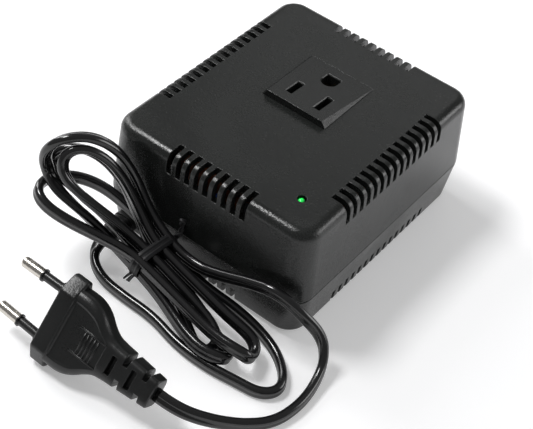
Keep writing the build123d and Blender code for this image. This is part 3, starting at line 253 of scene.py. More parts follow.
def finish(name, colour, rough, pits=2500, depth=0.00003, bump=0.5, tone=0.3, rub_and_highlight=0.5, dust=0.3,
           metallic=0.0, level=0.5, ease=0.0003, glass=0.0):
    """A finish from the two groups: tone varies the colour and the roughness, rubbed edges are
    smoother and a little paler, as wear and as a painted highlight along the edges, and dust is
    paler and rougher. pits are per metre, depth and ease in metres, level is the shader's
    specular level and glass its transmission."""
    paint = bpy.data.materials.new(name)
    paint.use_nodes = True
    tree = paint.node_tree
    pitted = add_node(tree, "ShaderNodeGroup", {"Pits per m": pits}, node_tree=grain).outputs
    worn_and_highlit_by = {"Ease m": ease, "Rub and highlight": rub_and_highlight, "Dust": dust}
    handled_and_highlit = add_node(tree, "ShaderNodeGroup", worn_and_highlit_by, node_tree=wear_and_highlight).outputs

    colour = np.array(colour)
    middle = 0.5
    share = maths(tree, "MULTIPLY_ADD", pitted["Tone"], tone / middle, middle)
    base = mixed(tree, share, colour * tone_dark_share, colour * tone_pale_share)
    # Rubbed edges painted paler: wear, and a painted highlight along the edges.
    worn_and_highlit = mixed(tree, handled_and_highlit["Rub and highlight"], base, np.minimum(colour * rub_and_highlight_gain + rub_and_highlight_lift, 1))
    dusty = mixed(tree, handled_and_highlit["Dust"], worn_and_highlit, dust_colour)

    rough = maths(tree, "MULTIPLY_ADD", pitted["Tone"], tone * tone_rougher, rough)
    rough = maths(tree, "MULTIPLY_ADD", handled_and_highlit["Rub and highlight"], rub_rougher, rough)
    rough = maths(tree, "MULTIPLY_ADD", handled_and_highlit["Dust"], dust_rougher, rough)
    moulded = {
        "Strength": bump, "Distance": depth, "Height": pitted["Height"], "Normal": handled_and_highlit["Eased"],
    }
    relief = add_node(tree, "ShaderNodeBump", moulded)
    looks = {
        "Base Color": dusty, "Roughness": rough, "Normal": relief.outputs["Normal"],
        "Metallic": metallic, "Specular IOR Level": level, "Transmission Weight": glass,
    }
    for label, value in looks.items():
        feed(tree, tree.nodes["Principled BSDF"].inputs[label], value)
    return paint


finishes = {
    "case_plastic": finish(
        "grained_case", (0.012, 0.0132, 0.0125), 0.24, pits=1700, depth=0.00009, bump=1.0,
        tone=0.8, rub_and_highlight=2.0, dust=0.06, level=0.42, ease=0.0004,
    ),
    "outlet_plastic": finish(
        "outlet_satin", (0.012, 0.013, 0.0125), 0.26, pits=2200, depth=0.00006, bump=0.8,
        tone=0.6, rub_and_highlight=2.0, dust=0.05, level=0.4, ease=0.0004,
    ),
    "plug_plastic": finish(
        "plug_moulding", (0.009, 0.0095, 0.0095), 0.32, pits=1700, depth=0.00007, bump=0.9,
        tone=0.7, rub_and_highlight=0.8, dust=0.05, level=0.4,
    ),
    "cord_plastic": finish(
        "cord_vinyl", (0.008, 0.008, 0.0085), 0.17, pits=900, depth=0.00001, bump=0.15,
        dust=0.02, level=0.6, ease=0.00001,
    ),
    "bushing_plastic": finish(
        "bushing_vinyl", (0.012, 0.012, 0.0125), 0.4, pits=2600, dust=0.05, level=0.3
    ),
    "tie_plastic": finish(
        "tie_paper", (0.01, 0.01, 0.011), 0.45, pits=1500, depth=0.00008, dust=0.05, level=0.35
    ),
    "sleeve_plastic": finish("sleeve_moulding", (0.012, 0.012, 0.012), 0.28, dust=0.03),
    "pin_nickel": finish(
        "pin_nickel", (0.60, 0.57, 0.52), 0.22, pits=1600, depth=0.00001, bump=0.4, metallic=1.0
    ),
    "lamp_lens": finish(
        "green_lens", (0.1, 0.62, 0.16), 0.12, depth=0.00001, dust=0, ease=0.00001, glass=0.15
    ),
    "carrier_plastic": finish("carrier_moulding", (0.05, 0.05, 0.048), 0.5),
    "contact_brass": finish(
        "stamped_brass", (0.78, 0.58, 0.28), 0.3, pits=900, depth=0.00001, bump=0.4, metallic=1.0
    ),
    "screw_steel": finish("blackened_steel", (0.05, 0.05, 0.055), 0.45, pits=3000, metallic=0.6),
    "foot_rubber": finish("foot_rubber", (0.03, 0.03, 0.031), 0.75, pits=1800, depth=0.00006),
    "lamp_board": finish("board_laminate", (0.42, 0.30, 0.14), 0.5, pits=1500),
    "resistor_body": finish("resistor_lacquer", (0.62, 0.50, 0.32), 0.3),
    "lamp_lead": finish("red_lead", (0.45, 0.03, 0.03), 0.35),
    "core_steel": finish("core_strip", (0.42, 0.42, 0.44), 0.4, pits=1200, metallic=1.0),
    "winding_wire": finish("enamelled_wire", (0.2, 0.06, 0.022), 0.3, metallic=0.3),
    "wrap_film": finish("dark_film", (0.03, 0.026, 0.02), 0.25),
    "pad_rubber": finish("pad_rubber", (0.04, 0.04, 0.042), 0.8, pits=1500),
    "plated_steel": finish("zinc_plate", (0.6, 0.58, 0.52), 0.32, pits=1500, metallic=1.0),
    "cutout_plastic": finish("cutout_moulding", (0.09, 0.09, 0.1), 0.5),
    "strap_plastic": finish("nylon_strap", (0.72, 0.71, 0.66), 0.45),
    "splice_plastic": finish("splice_vinyl", (0.62, 0.08, 0.06), 0.35),
    "lead_blue": finish("blue_lead", (0.05, 0.12, 0.45), 0.4),
    "lead_brown": finish("brown_lead", (0.20, 0.09, 0.04), 0.4),
    "lead_black": finish("black_lead", (0.02, 0.02, 0.02), 0.4),
    "lead_white": finish("white_lead", (0.72, 0.72, 0.69), 0.4),
    "bridge_plastic": finish("bridge_moulding", (0.04, 0.04, 0.04), 0.4),
}

# The lamp's glow: its middle from the lens's low corner and from its top, its reach and strength,
# and the place and colour of its rim, a painted shade of the hole round the lens, and of its heart
glow_in, glow_under, glow_r, glow_strength = (0.00165, 0.0016), 0.0004, 0.0016, 0.55
glow_rim_painted_shade, glow_heart = (0.12, (0.001, 0.012, 0.004, 1)), (0.55, (0.02, 0.75, 0.1, 1))


def light_lens(paint):
    """Colour and glow that fall off from the lamp in the middle of the lens to its dark rim, which
    is painted shade of the hole round the lens.
    """
    low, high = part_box("led_lens")
    centre = (low[0] + glow_in[0], low[1] + glow_in[1], high[2] - glow_under)
    tree = paint.node_tree
    placed = {"Vector": object_place(tree), "Location": centre, "Scale": (glow_r,) * 3}
    place = add_node(tree, "ShaderNodeMapping", placed, vector_type="TEXTURE")
    ball = {"Vector": place.outputs["Vector"]}
    fall = add_node(tree, "ShaderNodeTexGradient", ball, gradient_type="SPHERICAL")
    ramp = add_node(tree, "ShaderNodeValToRGB", {"Fac": fall.outputs["Fac"]})
    # The rim's colour is painted shade of the hole round the lens; the heart is the lamp's own
    # glow.
    for element, (position, colour) in zip(ramp.color_ramp.elements, (glow_rim_painted_shade, glow_heart)):
        element.position = position
        element.color = colour
    shader = tree.nodes["Principled BSDF"]
    feed(tree, shader.inputs["Base Color"], ramp.outputs["Color"])
    feed(tree, shader.inputs["Emission Color"], ramp.outputs["Color"])
    feed(tree, shader.inputs["Emission Strength"], glow_strength)


light_lens(finishes["lamp_lens"])
slot_of = {row["node"]: row["material_slot"] for row in frame["record"]["subparts"]}
for node, piece in nodes.items():
    piece.data.materials.clear()
    piece.data.materials.append(finishes[slot_of[node]])


# The plug's place and its own axes: x to the cord, y across the pins, z out of the grip panel

plug_at = np.array((-0.01619, -0.1071, 0.01539))
plug_turns = (("X", 53), ("Y", 5), ("Z", 0.95))
plug_l = 0.04485


def plug_axis(vector):
    """One of the plug's own axes in the world: turned about X, Y and Z, one after the other."""
    for axis, degrees in plug_turns:
        vector = Matrix.Rotation(math.radians(degrees), 3, axis) @ Vector(vector)
    return np.array(vector)


plug_x, plug_y, plug_z = (plug_axis(v) for v in ((1, 0, 0), (0, 1, 0), (0, 0, 1)))


# The lead: where it leaves the bushing, and its points to the hank and from it to the plug

bushing_mouth = (-0.0335, -0.0625, 0.0064)
box_route = (
    (-0.0335, -0.0674, 0.0064),
    (-0.0312, -0.0727, 0.0033),
    (-0.0232, -0.0764, 0.0021),
    (-0.012, -0.0773, 0.0021),
    (0.0015, -0.0772, 0.0021),
    (0.0156, -0.0807, 0.0021),
    (0.029, -0.081, 0.0021),
    (0.0405, -0.0792, 0.0021),
    (0.0494, -0.078, 0.0021),
    (0.0536, -0.0726, 0.0021),
    (0.0506, -0.0662, 0.0021),
    (0.0425, -0.0602, 0.0023),
    (0.032, -0.0574, 0.0034),
    (0.0215, -0.0572, 0.0056),
    (0.0105, -0.0586, 0.0078),
)
plug_route = (
    (0.0064, -0.0582, 0.0152),
    (0.016, -0.0573, 0.0178),
    (0.026, -0.0568, 0.0222),
    (0.037, -0.0566, 0.0258),
    (0.0466, -0.0549, 0.021),
    (0.0543, -0.0516, 0.0125),
    (0.0586, -0.0546, 0.0056),
    (0.061, -0.063, 0.0024),
    (0.062, -0.073, 0.0021),
    (0.06, -0.0835, 0.0021),
    (0.0535, -0.092, 0.0032),
    (0.0452, -0.1005, 0.0068),
)

# The hank: its waist's middle, lean, bearing and slope, the slots of its passes across and
# through the waist, in pitches, and one row for each loop: side, reach, belly, lean at the tip
# in degrees, lift, sway, shift, bulge, roundness
waist_at = np.array((-0.0098, -0.0648, 0.0151))
waist_lean, waist_bearing, waist_slope = np.radians((-2.1, -4.6, 13.0))
slot_pitches = (0.0048, 0.005)
waist_slots = (
    (1.5, 0.5), (-1.5, -0.5), (0.5, -0.5), (-0.5, -0.5),
    (-0.5, 0.5), (0.5, 0.5), (-1.5, 0.5), (1.5, -0.5),
)
hank_loops = (
    (-1, 0.0387, 0.0218, 95.8, 0.0255, 0.006, -0.0037, 0.021, 0.79),
    (1, 0.0429, 0.0077, -37.7, -0.0105, 0.0045, -0.0131, 0.0033, 0.88),
    (-1, 0.0431, 0.0152, 64.2, 0.012, 0.0108, -0.0066, 0.0208, 1.22),
    (1, 0.0373, 0.0108, 36.2, 0.001, -0.0126, 0.0052, -0.0063, 0.68),
    (-1, 0.033, 0.0159, 51.7, 0.0211, 0.0002, -0.0036, 0.0113, 1.08),
    (1, 0.0513, 0.0041, -32.5, 0.0077, -0.0115, 0.0127, -0.0016, 0.32),
    (-1, 0.0469, 0.023, -13.0, -0.0096, -0.009, -0.0055, 0.013, 1.22),
)
points_per_loop = 14

# The flat cord's width over both strands, a strand's radius, the length of a straight end, the
# direction of the width where it leaves the bushing, and the mesh's steps along and round it
cord_w, strand_r, end_l = 0.0049, 0.0016, 0.0038
width_at_mouth = (1, 0, 0.1)
cord_steps, strand_steps = 8, 13
floor_gap = 0.00005

waist_along = np.array(
    (
        math.cos(waist_bearing) * math.cos(waist_slope),
        math.sin(waist_bearing) * math.cos(waist_slope),
        -math.sin(waist_slope),
    )
)
waist_across = np.array((-math.sin(waist_bearing), math.cos(waist_bearing), 0))
waist_upright = np.cross(waist_along, waist_across)


def waist_frame(lean):
    """Directions across and through the bundle at an array of leans."""
    c, s = np.cos(lean)[:, None], np.sin(lean)[:, None]
    return waist_across * c + waist_upright * s, waist_upright * c - waist_across * s


def hank_loop(index, u):
    """Points of one loop at an array of u, and the direction of the flat cord's width there.
    With A = pi * u: the loop swells by sin^2 A, goes over from slot to slot by (1 - cos A) / 2,
    reaches side * reach * sin A ^ roundness along the waist, spreads by belly * cos A + shift
    across it and by bulge through it, while its lean goes from the waist's to the tip's and it
    lifts and sways with the swell."""
    side, reach, belly, tip_lean, lift, sway, shift, bulge, roundness = hank_loops[index]
    (w0, n0), (w1, n1) = np.array(waist_slots[index : index + 2]) * slot_pitches
    angle = np.pi * u
    over = (1 - np.cos(angle)) / 2
    swell = np.sin(angle) ** 2
    turn = 1 if w0 > w1 else -1
    s = side * reach * np.abs(np.sin(angle)) ** roundness
    w = w0 + (w1 - w0) * over + (turn * belly * np.cos(angle) + shift) * swell
    n = n0 + (n1 - n0) * over + bulge * swell
    w_dir, n_dir = waist_frame(waist_lean + (math.radians(tip_lean) - waist_lean) * swell)
    points = waist_at + waist_along * s[:, None] + w_dir * w[:, None] + n_dir * n[:, None]
    return points + swell[:, None] * (0, sway, lift), n_dir


def whole_hank():
    """Points of the hank, loop after loop, and the direction of the cord's width at each."""
    u = np.arange(points_per_loop) / points_per_loop
    loops = [hank_loop(index, u) for index in range(len(hank_loops))]
    loops.append(hank_loop(len(hank_loops) - 1, np.ones(1)))
    return (np.concatenate(rows) for rows in zip(*loops))


def lead_controls():
    """Control points from the bushing along the floor, back through the hank and on to the
    plug, and the direction of the cord's width at each, which is upright on the floor."""
    hank_points, hank_wide = whole_hank()
    hank_start = hank_points[0] + waist_along * end_l
    hank_end = hank_points[-1] + waist_along * end_l
    relief_end = plug_at + plug_x * plug_l
    to_hank = [bushing_mouth, *box_route, hank_end + waist_along * end_l, hank_end]
    from_hank = [hank_start, hank_start + waist_along * end_l, *plug_route]
    to_plug = [relief_end + plug_x * 2 * end_l, relief_end]
    points = np.concatenate([to_hank, hank_points[::-1], from_hank, to_plug])
    wide = np.zeros_like(points)
    wide[:, 2] = 1
    wide[:2] = width_at_mouth
    wide[len(to_hank) : len(to_hank) + len(hank_points)] = hank_wide[::-1]
    wide[-3:] = plug_y
    return points, wide


def nurbs_path(points, steps):
    """Points along the open NURBS spline of order 3 through whose control points a cord goes,
    and for each of them its place among the control points."""
    curve = bpy.data.curves.new("path", "CURVE")
    curve.dimensions = "3D"
    curve.resolution_u = steps
    spline = curve.splines.new("NURBS")
    spline.points.add(len(points) - 1)
    weights = np.ones((len(points), 1))
    spline.points.foreach_set("co", np.hstack([points, weights]).astype(np.float32).ravel())
    spline.order_u = 3
    spline.use_endpoint_u = True
    holder = bpy.data.objects.new("path", curve)
    line = bpy.data.meshes.new_from_object(holder)
    path = np.empty(len(line.vertices) * 3, np.float32)
    line.vertices.foreach_get("co", path)
    bpy.data.objects.remove(holder)
    bpy.data.curves.remove(curve)
    bpy.data.meshes.remove(line)
    path = path.reshape(-1, 3).astype(float)
    last, half_step = len(points) - 1, 0.5
    place = np.linspace(half_step, last - half_step, len(path))
    place[0], place[-1] = 0, last
    return path, place


def between(values, place):
    """Rows of values read at places between them."""
    ticks = np.arange(len(values))
    return np.stack([np.interp(place, ticks, column) for column in values.T], 1)


lead_points, lead_wide = lead_controls()
lead_path, lead_place = nurbs_path(lead_points, cord_steps)
lead_profile = flat_profile(strand_r, cord_w / 2 - strand_r, strand_steps)
lead_grid = carried(lead_path, between(lead_wide, lead_place), lead_profile)
lead_grid[..., 2] = np.maximum(lead_grid[..., 2], floor_gap)
lead = mesh_piece("lead", *join([lead_grid]))
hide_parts("cord_box_end", "cord_hank", "cord_plug_end")
lead.data.materials.append(finishes["cord_plastic"])


# The tie, on places across, through and along the waist

# Its wraps: half the bundle's width and height, the squareness of that outline, turns, steps in
# each, the turn at which the strip starts to move over, and how the outline wavers
wrap_half_w, wrap_half_h, wrap_power = 0.0099, 0.0052, 3.2
wrap_turns, wrap_steps, climb_start = 2, 72, 0.5
waver_share, waver_rate = 0.012, 7.3
# The strip: half its width, half its paper's thickness, the wire's extra, and the wire's spread
strip_half_w, paper_half, wire_half, wire_spread = 0.00105, 0.00022, 0.00028, 0.00035
strip_steps = 9
# The twisted tail: its start, its bow and drift across the waist, its rise, its sway, its turns,
# and how far it opens at its cut end
tail_start, tail_bow, tail_drift, tail_rise = (0.0098, 0.0035), 0.0012, 0.0004, 0.0095
tail_sway, tail_turns, tail_opens, tail_steps = 0.0004, 1.6, 0.35, 60
tail_strand_r, tail_strand_off, tail_strand_steps = 0.0006, 0.00042, 9
# The short cut ends: where they start across, through and along the waist, droop and drift, then
# their length, half width, thickness and narrowing as shares of that, and their outline's shape
cut_ends = (
    (-0.0094, -0.0028, 0.0008, 0.0012, 0.0005),
    (-0.0092, -0.0034, -0.0006, 0.0018, -0.0005),
    (-0.009, -0.0044, 0.0002, 0.0006, 0.0),
)
cut_l, cut_half_w, cut_thin_share, cut_taper_share = 0.0028, 0.00055, 0.4, 0.35
cut_power, cut_bend_power, cut_steps = 3, 1.6, 12


def tie_point(w, n, s):
    """World points from arrays of places across, through and along the waist."""
    w_dir, n_dir = waist_frame(np.array([waist_lean]))
    w, n, s = (np.asarray(v, float)[..., None] for v in (w, n, s))
    return waist_at + w_dir[0] * w + n_dir[0] * n + waist_along * s


def carried_along_waist(path, profile):
    """A profile carried along a path with its width along the waist."""
    return carried(path, np.broadcast_to(waist_along, path.shape), profile)


def wind_tie():
    """Two turns of a flat strip with a wire in its middle: a superellipse round the bundle that
    climbs from one wrap to the next, with a strip profile that is thicker over the wire."""
    t = np.linspace(0, wrap_turns, wrap_turns * wrap_steps + 1)
    ring = np.stack(superellipse(full_turn(wrap_steps), wrap_half_w, wrap_half_h, wrap_power), 1)
    ring = np.concatenate([ring] * wrap_turns + [ring[:1]])
    ring = ring * (1 + waver_share * np.sin(waver_rate * t)[:, None])
    climb = strip_half_w * -np.cos(np.pi * np.clip(t - climb_start, 0, 1))
    across = np.linspace(-strip_half_w, strip_half_w, strip_steps)
    half = paper_half + wire_half * np.exp(-((across / wire_spread) ** 2))
    top, bottom = np.stack([across, half], 1), np.stack([across[::-1], -half[::-1]], 1)
    return carried_along_waist(tie_point(*ring.T, climb), np.concatenate([top, bottom]))


def twist_tail():
    """The tail: two strips twisted round each other, as one two-lobed profile that turns as it
    goes, and opens a little at its cut end."""
    t = np.linspace(0, 1, tail_steps)
    w = tail_start[0] + tail_bow * np.sin(np.pi * t) + tail_drift * t
    n = tail_start[1] + tail_rise * t
    path = tie_point(w, n, tail_sway * np.sin(2 * np.pi * t))
    lobes = flat_profile(tail_strand_r, tail_strand_off, tail_strand_steps)
    turn = 2 * np.pi * tail_turns * t
    c, s = np.cos(turn)[:, None], np.sin(turn)[:, None]
    x = lobes[:, 0] * c - lobes[:, 1] * s
    y = lobes[:, 0] * s + lobes[:, 1] * c
    opening = (1 + tail_opens * t**6)[:, None, None]
    return carried_along_waist(path, np.stack([x, y], -1) * opening)


def cut_end(w, n, s, droop, drift):
    """A short cut end: a flat strip that bends away from the bundle and narrows."""
    t = np.linspace(0, 1, cut_steps)
    path = tie_point(w - cut_l * t, n - droop * t**cut_bend_power, s + drift * t)
    width = cut_half_w * (1 - cut_taper_share * t)[:, None, None]
    outline = np.stack(superellipse(full_turn(cut_steps), 1, cut_thin_share, cut_power), 1)
    return carried_along_waist(path, outline * width)


tie_grids = [wind_tie(), twist_tail()] + [cut_end(*row) for row in cut_ends]
tie = mesh_piece("twist_tie", *join(tie_grids))
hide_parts("cord_tie")
tie.data.materials.append(finishes["tie_plastic"])


# The plug's shell, in the plug's own axes

# The body and strain relief, as knots (x, value): half width, half height and squareness
body_widths = (
    (0.005, 0.0143), (0.008, 0.0145), (0.0115, 0.0144), (0.0145, 0.0136), (0.0175, 0.0119),
    (0.0205, 0.0095), (0.0235, 0.0077), (0.0265, 0.007), (0.031, 0.0065), (0.045, 0.0054),
)
body_heights = (
    (0.005, 0.0054), (0.014, 0.0055), (0.0205, 0.0053), (0.0265, 0.005), (0.045, 0.0041),
)
body_powers = (
    (0.005, 4), (0.016, 3.6), (0.0225, 3.2), (0.0265, 3.6), (0.032, 4.2), (0.045, 4.2),
)
body_start, relief_start, tip_r = 0.005, 0.0265, 0.0007
body_step, relief_step, tip_steps = 0.00022, 0.00013, 7
# Its section's steps are even on an outline of this shape
section_wide, section_power, section_steps, section_fine_steps = 2.2, 4, 208, 2880
# The grip panel: its half width as knots, its two ends, its level and its border's softness
panel_widths = (
    (0.005, 0.0104), (0.011, 0.0105), (0.016, 0.0093), (0.0205, 0.0065), (0.025, 0.0042),
)
panel_start, panel_end, panel_level, soft_edge = 0.0071, 0.0238, 0.0046, 0.0003
# The windows: their middles, half their length and width, their softness, and the core in them
face_windows, side_windows = (0.0282, 0.0362), (0.0324, 0.0404)
window_half_l, window_half_w, window_edge = 0.00095, 0.0034, 0.00025
core_half_w, core_half_h = 0.0027, 0.0023
# The flange: its length, its rims' radius, the steps round it and to each side over which its
# corners are softened, and the half widths and heights of its six sides
flange_l, flange_r, flange_steps, flange_soft_steps = 0.0065, 0.0008, 240, 2
flange_half_w, flange_flat, flange_top, flange_half_h = 0.0168, 0.0012, 0.011, 0.00575
# The pins' bridge in it: its depth, its ends' middles and their radius
bridge_depth, bridge_off, bridge_r = 0.0012, 0.0096, 0.00345
# The grip's ridges: radius, height over the panel, two rails along x, and the bars between them
ridge_r, ridge_lift, ridge_steps, ridge_points = 0.00034, 0.00005, 14, 3
rail_start, rail_end, rail_off = 0.0125, 0.0236, 0.0045
bar_start, bar_pitch, bar_count, bar_half_l = 0.01535, 0.0014, 5, 0.0041


def in_plug(x, y, z):
    """World points from arrays of the plug's own x, y and z."""
    x, y, z = (v[..., None] for v in np.broadcast_arrays(x, y, z))
    return plug_at + plug_x * x + plug_y * y + plug_z * z


def closed_rows(x, y, z):
    """Rows of corners in the plug's axes as world points, each end closed on its middle."""
    rows = in_plug(x, y, z)
    ends = [np.broadcast_to(rows[i].mean(axis=0), rows[:1].shape) for i in (0, -1)]
    return np.concatenate([ends[0], rows, ends[1]])


def through(x, knots):
    """A smooth curve through knots (x, value): cubic pieces, whose slope at a knot is taken
    from its two neighbours."""
    at, value = np.array(knots).T
    slope = np.gradient(value, at)
    i = np.clip(np.searchsorted(at, x) - 1, 0, len(at) - 2)
    gap = at[i + 1] - at[i]
    t = (x - at[i]) / gap
    return (
        value[i] * (2 * t**3 - 3 * t**2 + 1)
        + value[i + 1] * (3 * t**2 - 2 * t**3)
        + slope[i] * gap * (t**3 - 2 * t**2 + t)
        + slope[i + 1] * gap * (t**3 - t**2)
    )


def inside(depth, edge):
    """0 outside a border and 1 inside it, rising smoothly over an edge; depth is the distance
    inside."""
    t = np.clip(depth / edge + 0.5, 0, 1)
    return t * t * (3 - 2 * t)


def held(value, limit, share):
    """A value drawn by a share towards what it is when held within a limit to each side."""
    return value + (np.clip(value, -limit, limit) - value) * share


def along_outline(corners, steps):
    """Places at even steps round a closed outline whose last corner repeats its first, as
    (steps, columns), for corners with any columns after the first two."""
    sides = np.linalg.norm(np.diff(corners[:, :2], axis=0), axis=1)
    along = np.concatenate([[0], np.cumsum(sides)])
    at = np.arange(steps) / steps * along[-1]
    return np.stack([np.interp(at, along, column) for column in corners.T], 1)


def even_angles():
    """Angles that put a superellipse's corners at even steps round it."""
    t = np.linspace(0, 2 * np.pi, section_fine_steps + 1)
    fine = np.stack([*superellipse(t, section_wide, 1, section_power), t], 1)
    return along_outline(fine, section_steps)[:, 2]


def plug_handle():
    """Body and strain relief: |y / width| ^ power + |z / height| ^ power = 1 at each x, where
    width, height and power are curves along x. Inside the panel's border z is held down to the
    panel, and in the relief's windows the section is held in to the core, from its faces and
    from its sides in turn. The far end is rounded by a quarter circle."""
    tip_start = plug_l - tip_r
    tip = plug_l - tip_r * (1 - np.sin(np.linspace(0, np.pi / 2, tip_steps)))
    body = np.arange(body_start, relief_start, body_step)
    relief = np.arange(relief_start, tip_start - relief_step, relief_step)
    x = np.concatenate([body, relief, tip])
    inset = tip_r * (1 - np.sqrt(1 - np.clip((x - tip_start) / tip_r, 0, 1) ** 2))
    width = (through(x, body_widths) - inset)[:, None]
    height = (through(x, body_heights) - inset)[:, None]
    y, z = superellipse(even_angles(), width, height, through(x, body_powers)[:, None])
    x = x[:, None]
    panel = inside(x - panel_start, soft_edge) * inside(panel_end - x, soft_edge)
    z = held(z, panel_level, panel * inside(through(x, panel_widths) - np.abs(y), soft_edge))
    for middle in face_windows:
        window = inside(window_half_l - np.abs(x - middle), window_edge)
        z = held(z, core_half_h, window * inside(window_half_w - np.abs(y), soft_edge))
    for middle in side_windows:
        y = held(y, core_half_w, inside(window_half_l - np.abs(x - middle), window_edge))
    return closed_rows(x, y, z)


def plug_front():
    """Flange: a six-sided outline with soft corners, drawn in by a quarter circle at both rims;
    its front dips round the pins' bridge, which has half-round ends."""
    upper = [
        (flange_half_w, flange_flat), (flange_top, flange_half_h),
        (-flange_top, flange_half_h), (-flange_half_w, flange_flat),
    ]
    lower = [(-x, -y) for x, y in upper]
    side_middle = (flange_half_w, 0)
    outline = along_outline(np.array([side_middle, *upper, *lower, side_middle]), flange_steps)
    shifts = range(-flange_soft_steps, flange_soft_steps + 1)
    outline = sum(np.roll(outline, shift, axis=0) for shift in shifts) / len(shifts)
    tangent = unit(np.roll(outline, -1, axis=0) - np.roll(outline, 1, axis=0))
    outward = np.stack([tangent[:, 1], -tangent[:, 0]], 1)
    t = full_turn(flange_steps)
    bridge_x = bridge_off * np.sign(np.cos(t)) + bridge_r * np.cos(t)
    bridge = np.stack([bridge_x, bridge_r * np.sin(t)], 1)
    turn = np.linspace(0, np.pi / 2, tip_steps)
    rim_x, rim_in = flange_r * (1 - np.cos(turn)), flange_r * (1 - np.sin(turn))
    inset = np.concatenate([rim_in, rim_in[::-1]])
    x = np.concatenate([[bridge_depth, 0.0], rim_x, flange_l - rim_x[::-1]])
    rings = np.concatenate([[bridge, bridge], outline - outward * inset[:, None, None]])
    return closed_rows(x[:, None], rings[..., 0], rings[..., 1])


def ridge(side, x0, y0, x1, y1, wide):
    """A low half-round ridge on the panel between two places: a circle carried along a line,
    with its width in the direction given."""
    along_x, along_y = np.linspace((x0, y0), (x1, y1), ridge_points).T
    line = in_plug(along_x, along_y, side * (panel_level + ridge_lift))
    t = full_turn(ridge_steps)
    profile = np.stack([np.cos(t), np.sin(t)], 1) * ridge_r
    return carried(line, np.broadcast_to(wide, line.shape), profile)


plug_grids = [plug_handle(), plug_front()]
for side in (-1, 1):
    for y in (-rail_off, rail_off):
        plug_grids.append(ridge(side, rail_start, y, rail_end, y, plug_y))
    for x in bar_start + bar_pitch * np.arange(bar_count):
        plug_grids.append(ridge(side, x, -bar_half_l, x, bar_half_l, plug_x))
plug_shell = mesh_piece("plug_shell", *join(plug_grids))
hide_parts("plug_body")
plug_shell.data.materials.append(finishes["plug_plastic"])


# Camera, floor and light

# The photograph's camera: azimuth, elevation and roll in degrees, the origin in the camera's
# own axes, and its focal length and shifts in pixels, of which 533 are 36 mm of sensor
camera_turns = (32.405, 45.351, 8.038)
origin_in_camera = (0.006647, 0.003985, -0.495358)
photo_w, sensor_w = 533, 36
focal_px, shift_px = 1293.73, (-0.368, 0.081)
near, far = 0.01, 20

# The floor's half width, colour, roughness, specular level, and the white that is added to it
floor_half, floor_colour, floor_rough, floor_level = 3.0, (0.86, 0.86, 0.87, 1), 0.85, 0.1
floor_white = 0.28
dome_strength, backdrop_strength = 0.24, 1
# Soft boxes: name, place, the point it faces, width and height, and power in watts
soft_boxes = (
    ("overhead", (-0.46, -0.16, 0.88), (0, 0, 0.02), (0.24, 0.24), 5.6),
    ("left", (-0.84, 0.1, 0.52), (-0.03, -0.04, 0.02), (0.3, 0.62), 4.2),
    ("back", (-0.35, 0.8, 0.7), (0, 0, 0.02), (0.5, 0.3), 0.3),
    ("right", (0.75, 0.6, 0.32), (0.03, 0, 0.02), (0.6, 0.4), 3.2),
)


def aim_camera():
    """A camera at the photograph's, which looks along -z of its own axes."""
    azimuth, elevation, roll = np.radians(camera_turns)
    back = Vector(
        (
            math.sin(azimuth) * math.cos(elevation),
            -math.cos(azimuth) * math.cos(elevation),
            math.sin(elevation),
        )
    )
    level = Vector((math.cos(azimuth), math.sin(azimuth), 0))
    upward = back.cross(level)
    right = level * math.cos(roll) + upward * math.sin(roll)
    up = upward * math.cos(roll) - level * math.sin(roll)
    axes = Matrix((right, up, back)).transposed()
    data = bpy.data.cameras.new("camera")
    data.sensor_width = sensor_w
    data.lens = focal_px * sensor_w / photo_w
    data.shift_x, data.shift_y = (shift / photo_w for shift in shift_px)
    data.clip_start, data.clip_end = near, far
    camera = bpy.data.objects.new("camera", data)
    camera.matrix_world = Matrix.Translation(-(axes @ Vector(origin_in_camera))) @ axes.to_4x4()
    bpy.context.collection.objects.link(camera)
    bpy.context.scene.camera = camera


def soft_box(name, where, towards, size, watts):
    """A rectangular area lamp that faces a point."""
    data = bpy.data.lights.new(name, "AREA")
    data.shape = "RECTANGLE"
    data.size, data.size_y = size
    data.energy = watts
    lamp = bpy.data.objects.new(name, data)
    lamp.location = where
    lamp.rotation_euler = (Vector(towards) - Vector(where)).to_track_quat("-Z", "Y").to_euler()
    bpy.context.collection.objects.link(lamp)


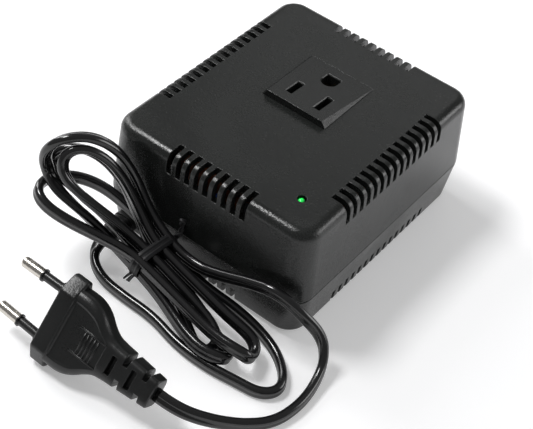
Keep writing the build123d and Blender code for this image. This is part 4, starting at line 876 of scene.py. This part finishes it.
def white_added(tree, shader, strength):
    """A shader with plain white of a strength added for the camera, glossy and glass rays."""
    rays = tree.nodes.new("ShaderNodeLightPath").outputs
    seen = maths(tree, "MAXIMUM", rays["Is Camera Ray"], rays["Is Glossy Ray"])
    seen = maths(tree, "MAXIMUM", seen, rays["Is Transmission Ray"])
    shown = {"Strength": maths(tree, "MULTIPLY", seen, strength)}
    white = add_node(tree, "ShaderNodeEmission", shown)
    both = {0: shader, 1: white.outputs["Emission"]}
    return add_node(tree, "ShaderNodeAddShader", both).outputs["Shader"]


def lay_floor():
    """A plain pale floor, wide enough to fill the photograph's view."""
    mesh = bpy.data.meshes.new("floor")
    corners = [(x * floor_half, y * floor_half, 0) for x, y in ((-1, -1), (1, -1), (1, 1), (-1, 1))]
    mesh.from_pydata(corners, [], [(0, 1, 2, 3)])
    floor = bpy.data.objects.new("floor", mesh)
    bpy.context.collection.objects.link(floor)
    paint = bpy.data.materials.new("pale_floor")
    paint.use_nodes = True
    tree = paint.node_tree
    shader = tree.nodes["Principled BSDF"]
    shader.inputs["Base Color"].default_value = floor_colour
    shader.inputs["Roughness"].default_value = floor_rough
    shader.inputs["Specular IOR Level"].default_value = floor_level
    surface = white_added(tree, shader.outputs["BSDF"], floor_white)
    feed(tree, tree.nodes["Material Output"].inputs["Surface"], surface)
    mesh.materials.append(paint)


def light_room():
    """A dome of soft light, which the camera itself sees as a brighter backdrop, and the soft
    boxes."""
    world = bpy.data.worlds.new("studio")
    bpy.context.scene.world = world
    world.use_nodes = True
    tree = world.node_tree
    dome = tree.nodes["Background"]
    dome.inputs["Color"].default_value = (1, 1, 1, 1)
    dome.inputs["Strength"].default_value = dome_strength
    backdrop = add_node(tree, "ShaderNodeBackground", {"Strength": backdrop_strength})
    rays = tree.nodes.new("ShaderNodeLightPath").outputs
    either = {0: rays["Is Camera Ray"], 1: dome.outputs[0], 2: backdrop.outputs[0]}
    both = add_node(tree, "ShaderNodeMixShader", either)
    feed(tree, tree.nodes["World Output"].inputs["Surface"], both.outputs[0])
    for row in soft_boxes:
        soft_box(*row)


aim_camera()
lay_floor()
light_room()
bpy.context.scene.view_settings.view_transform = "Standard"
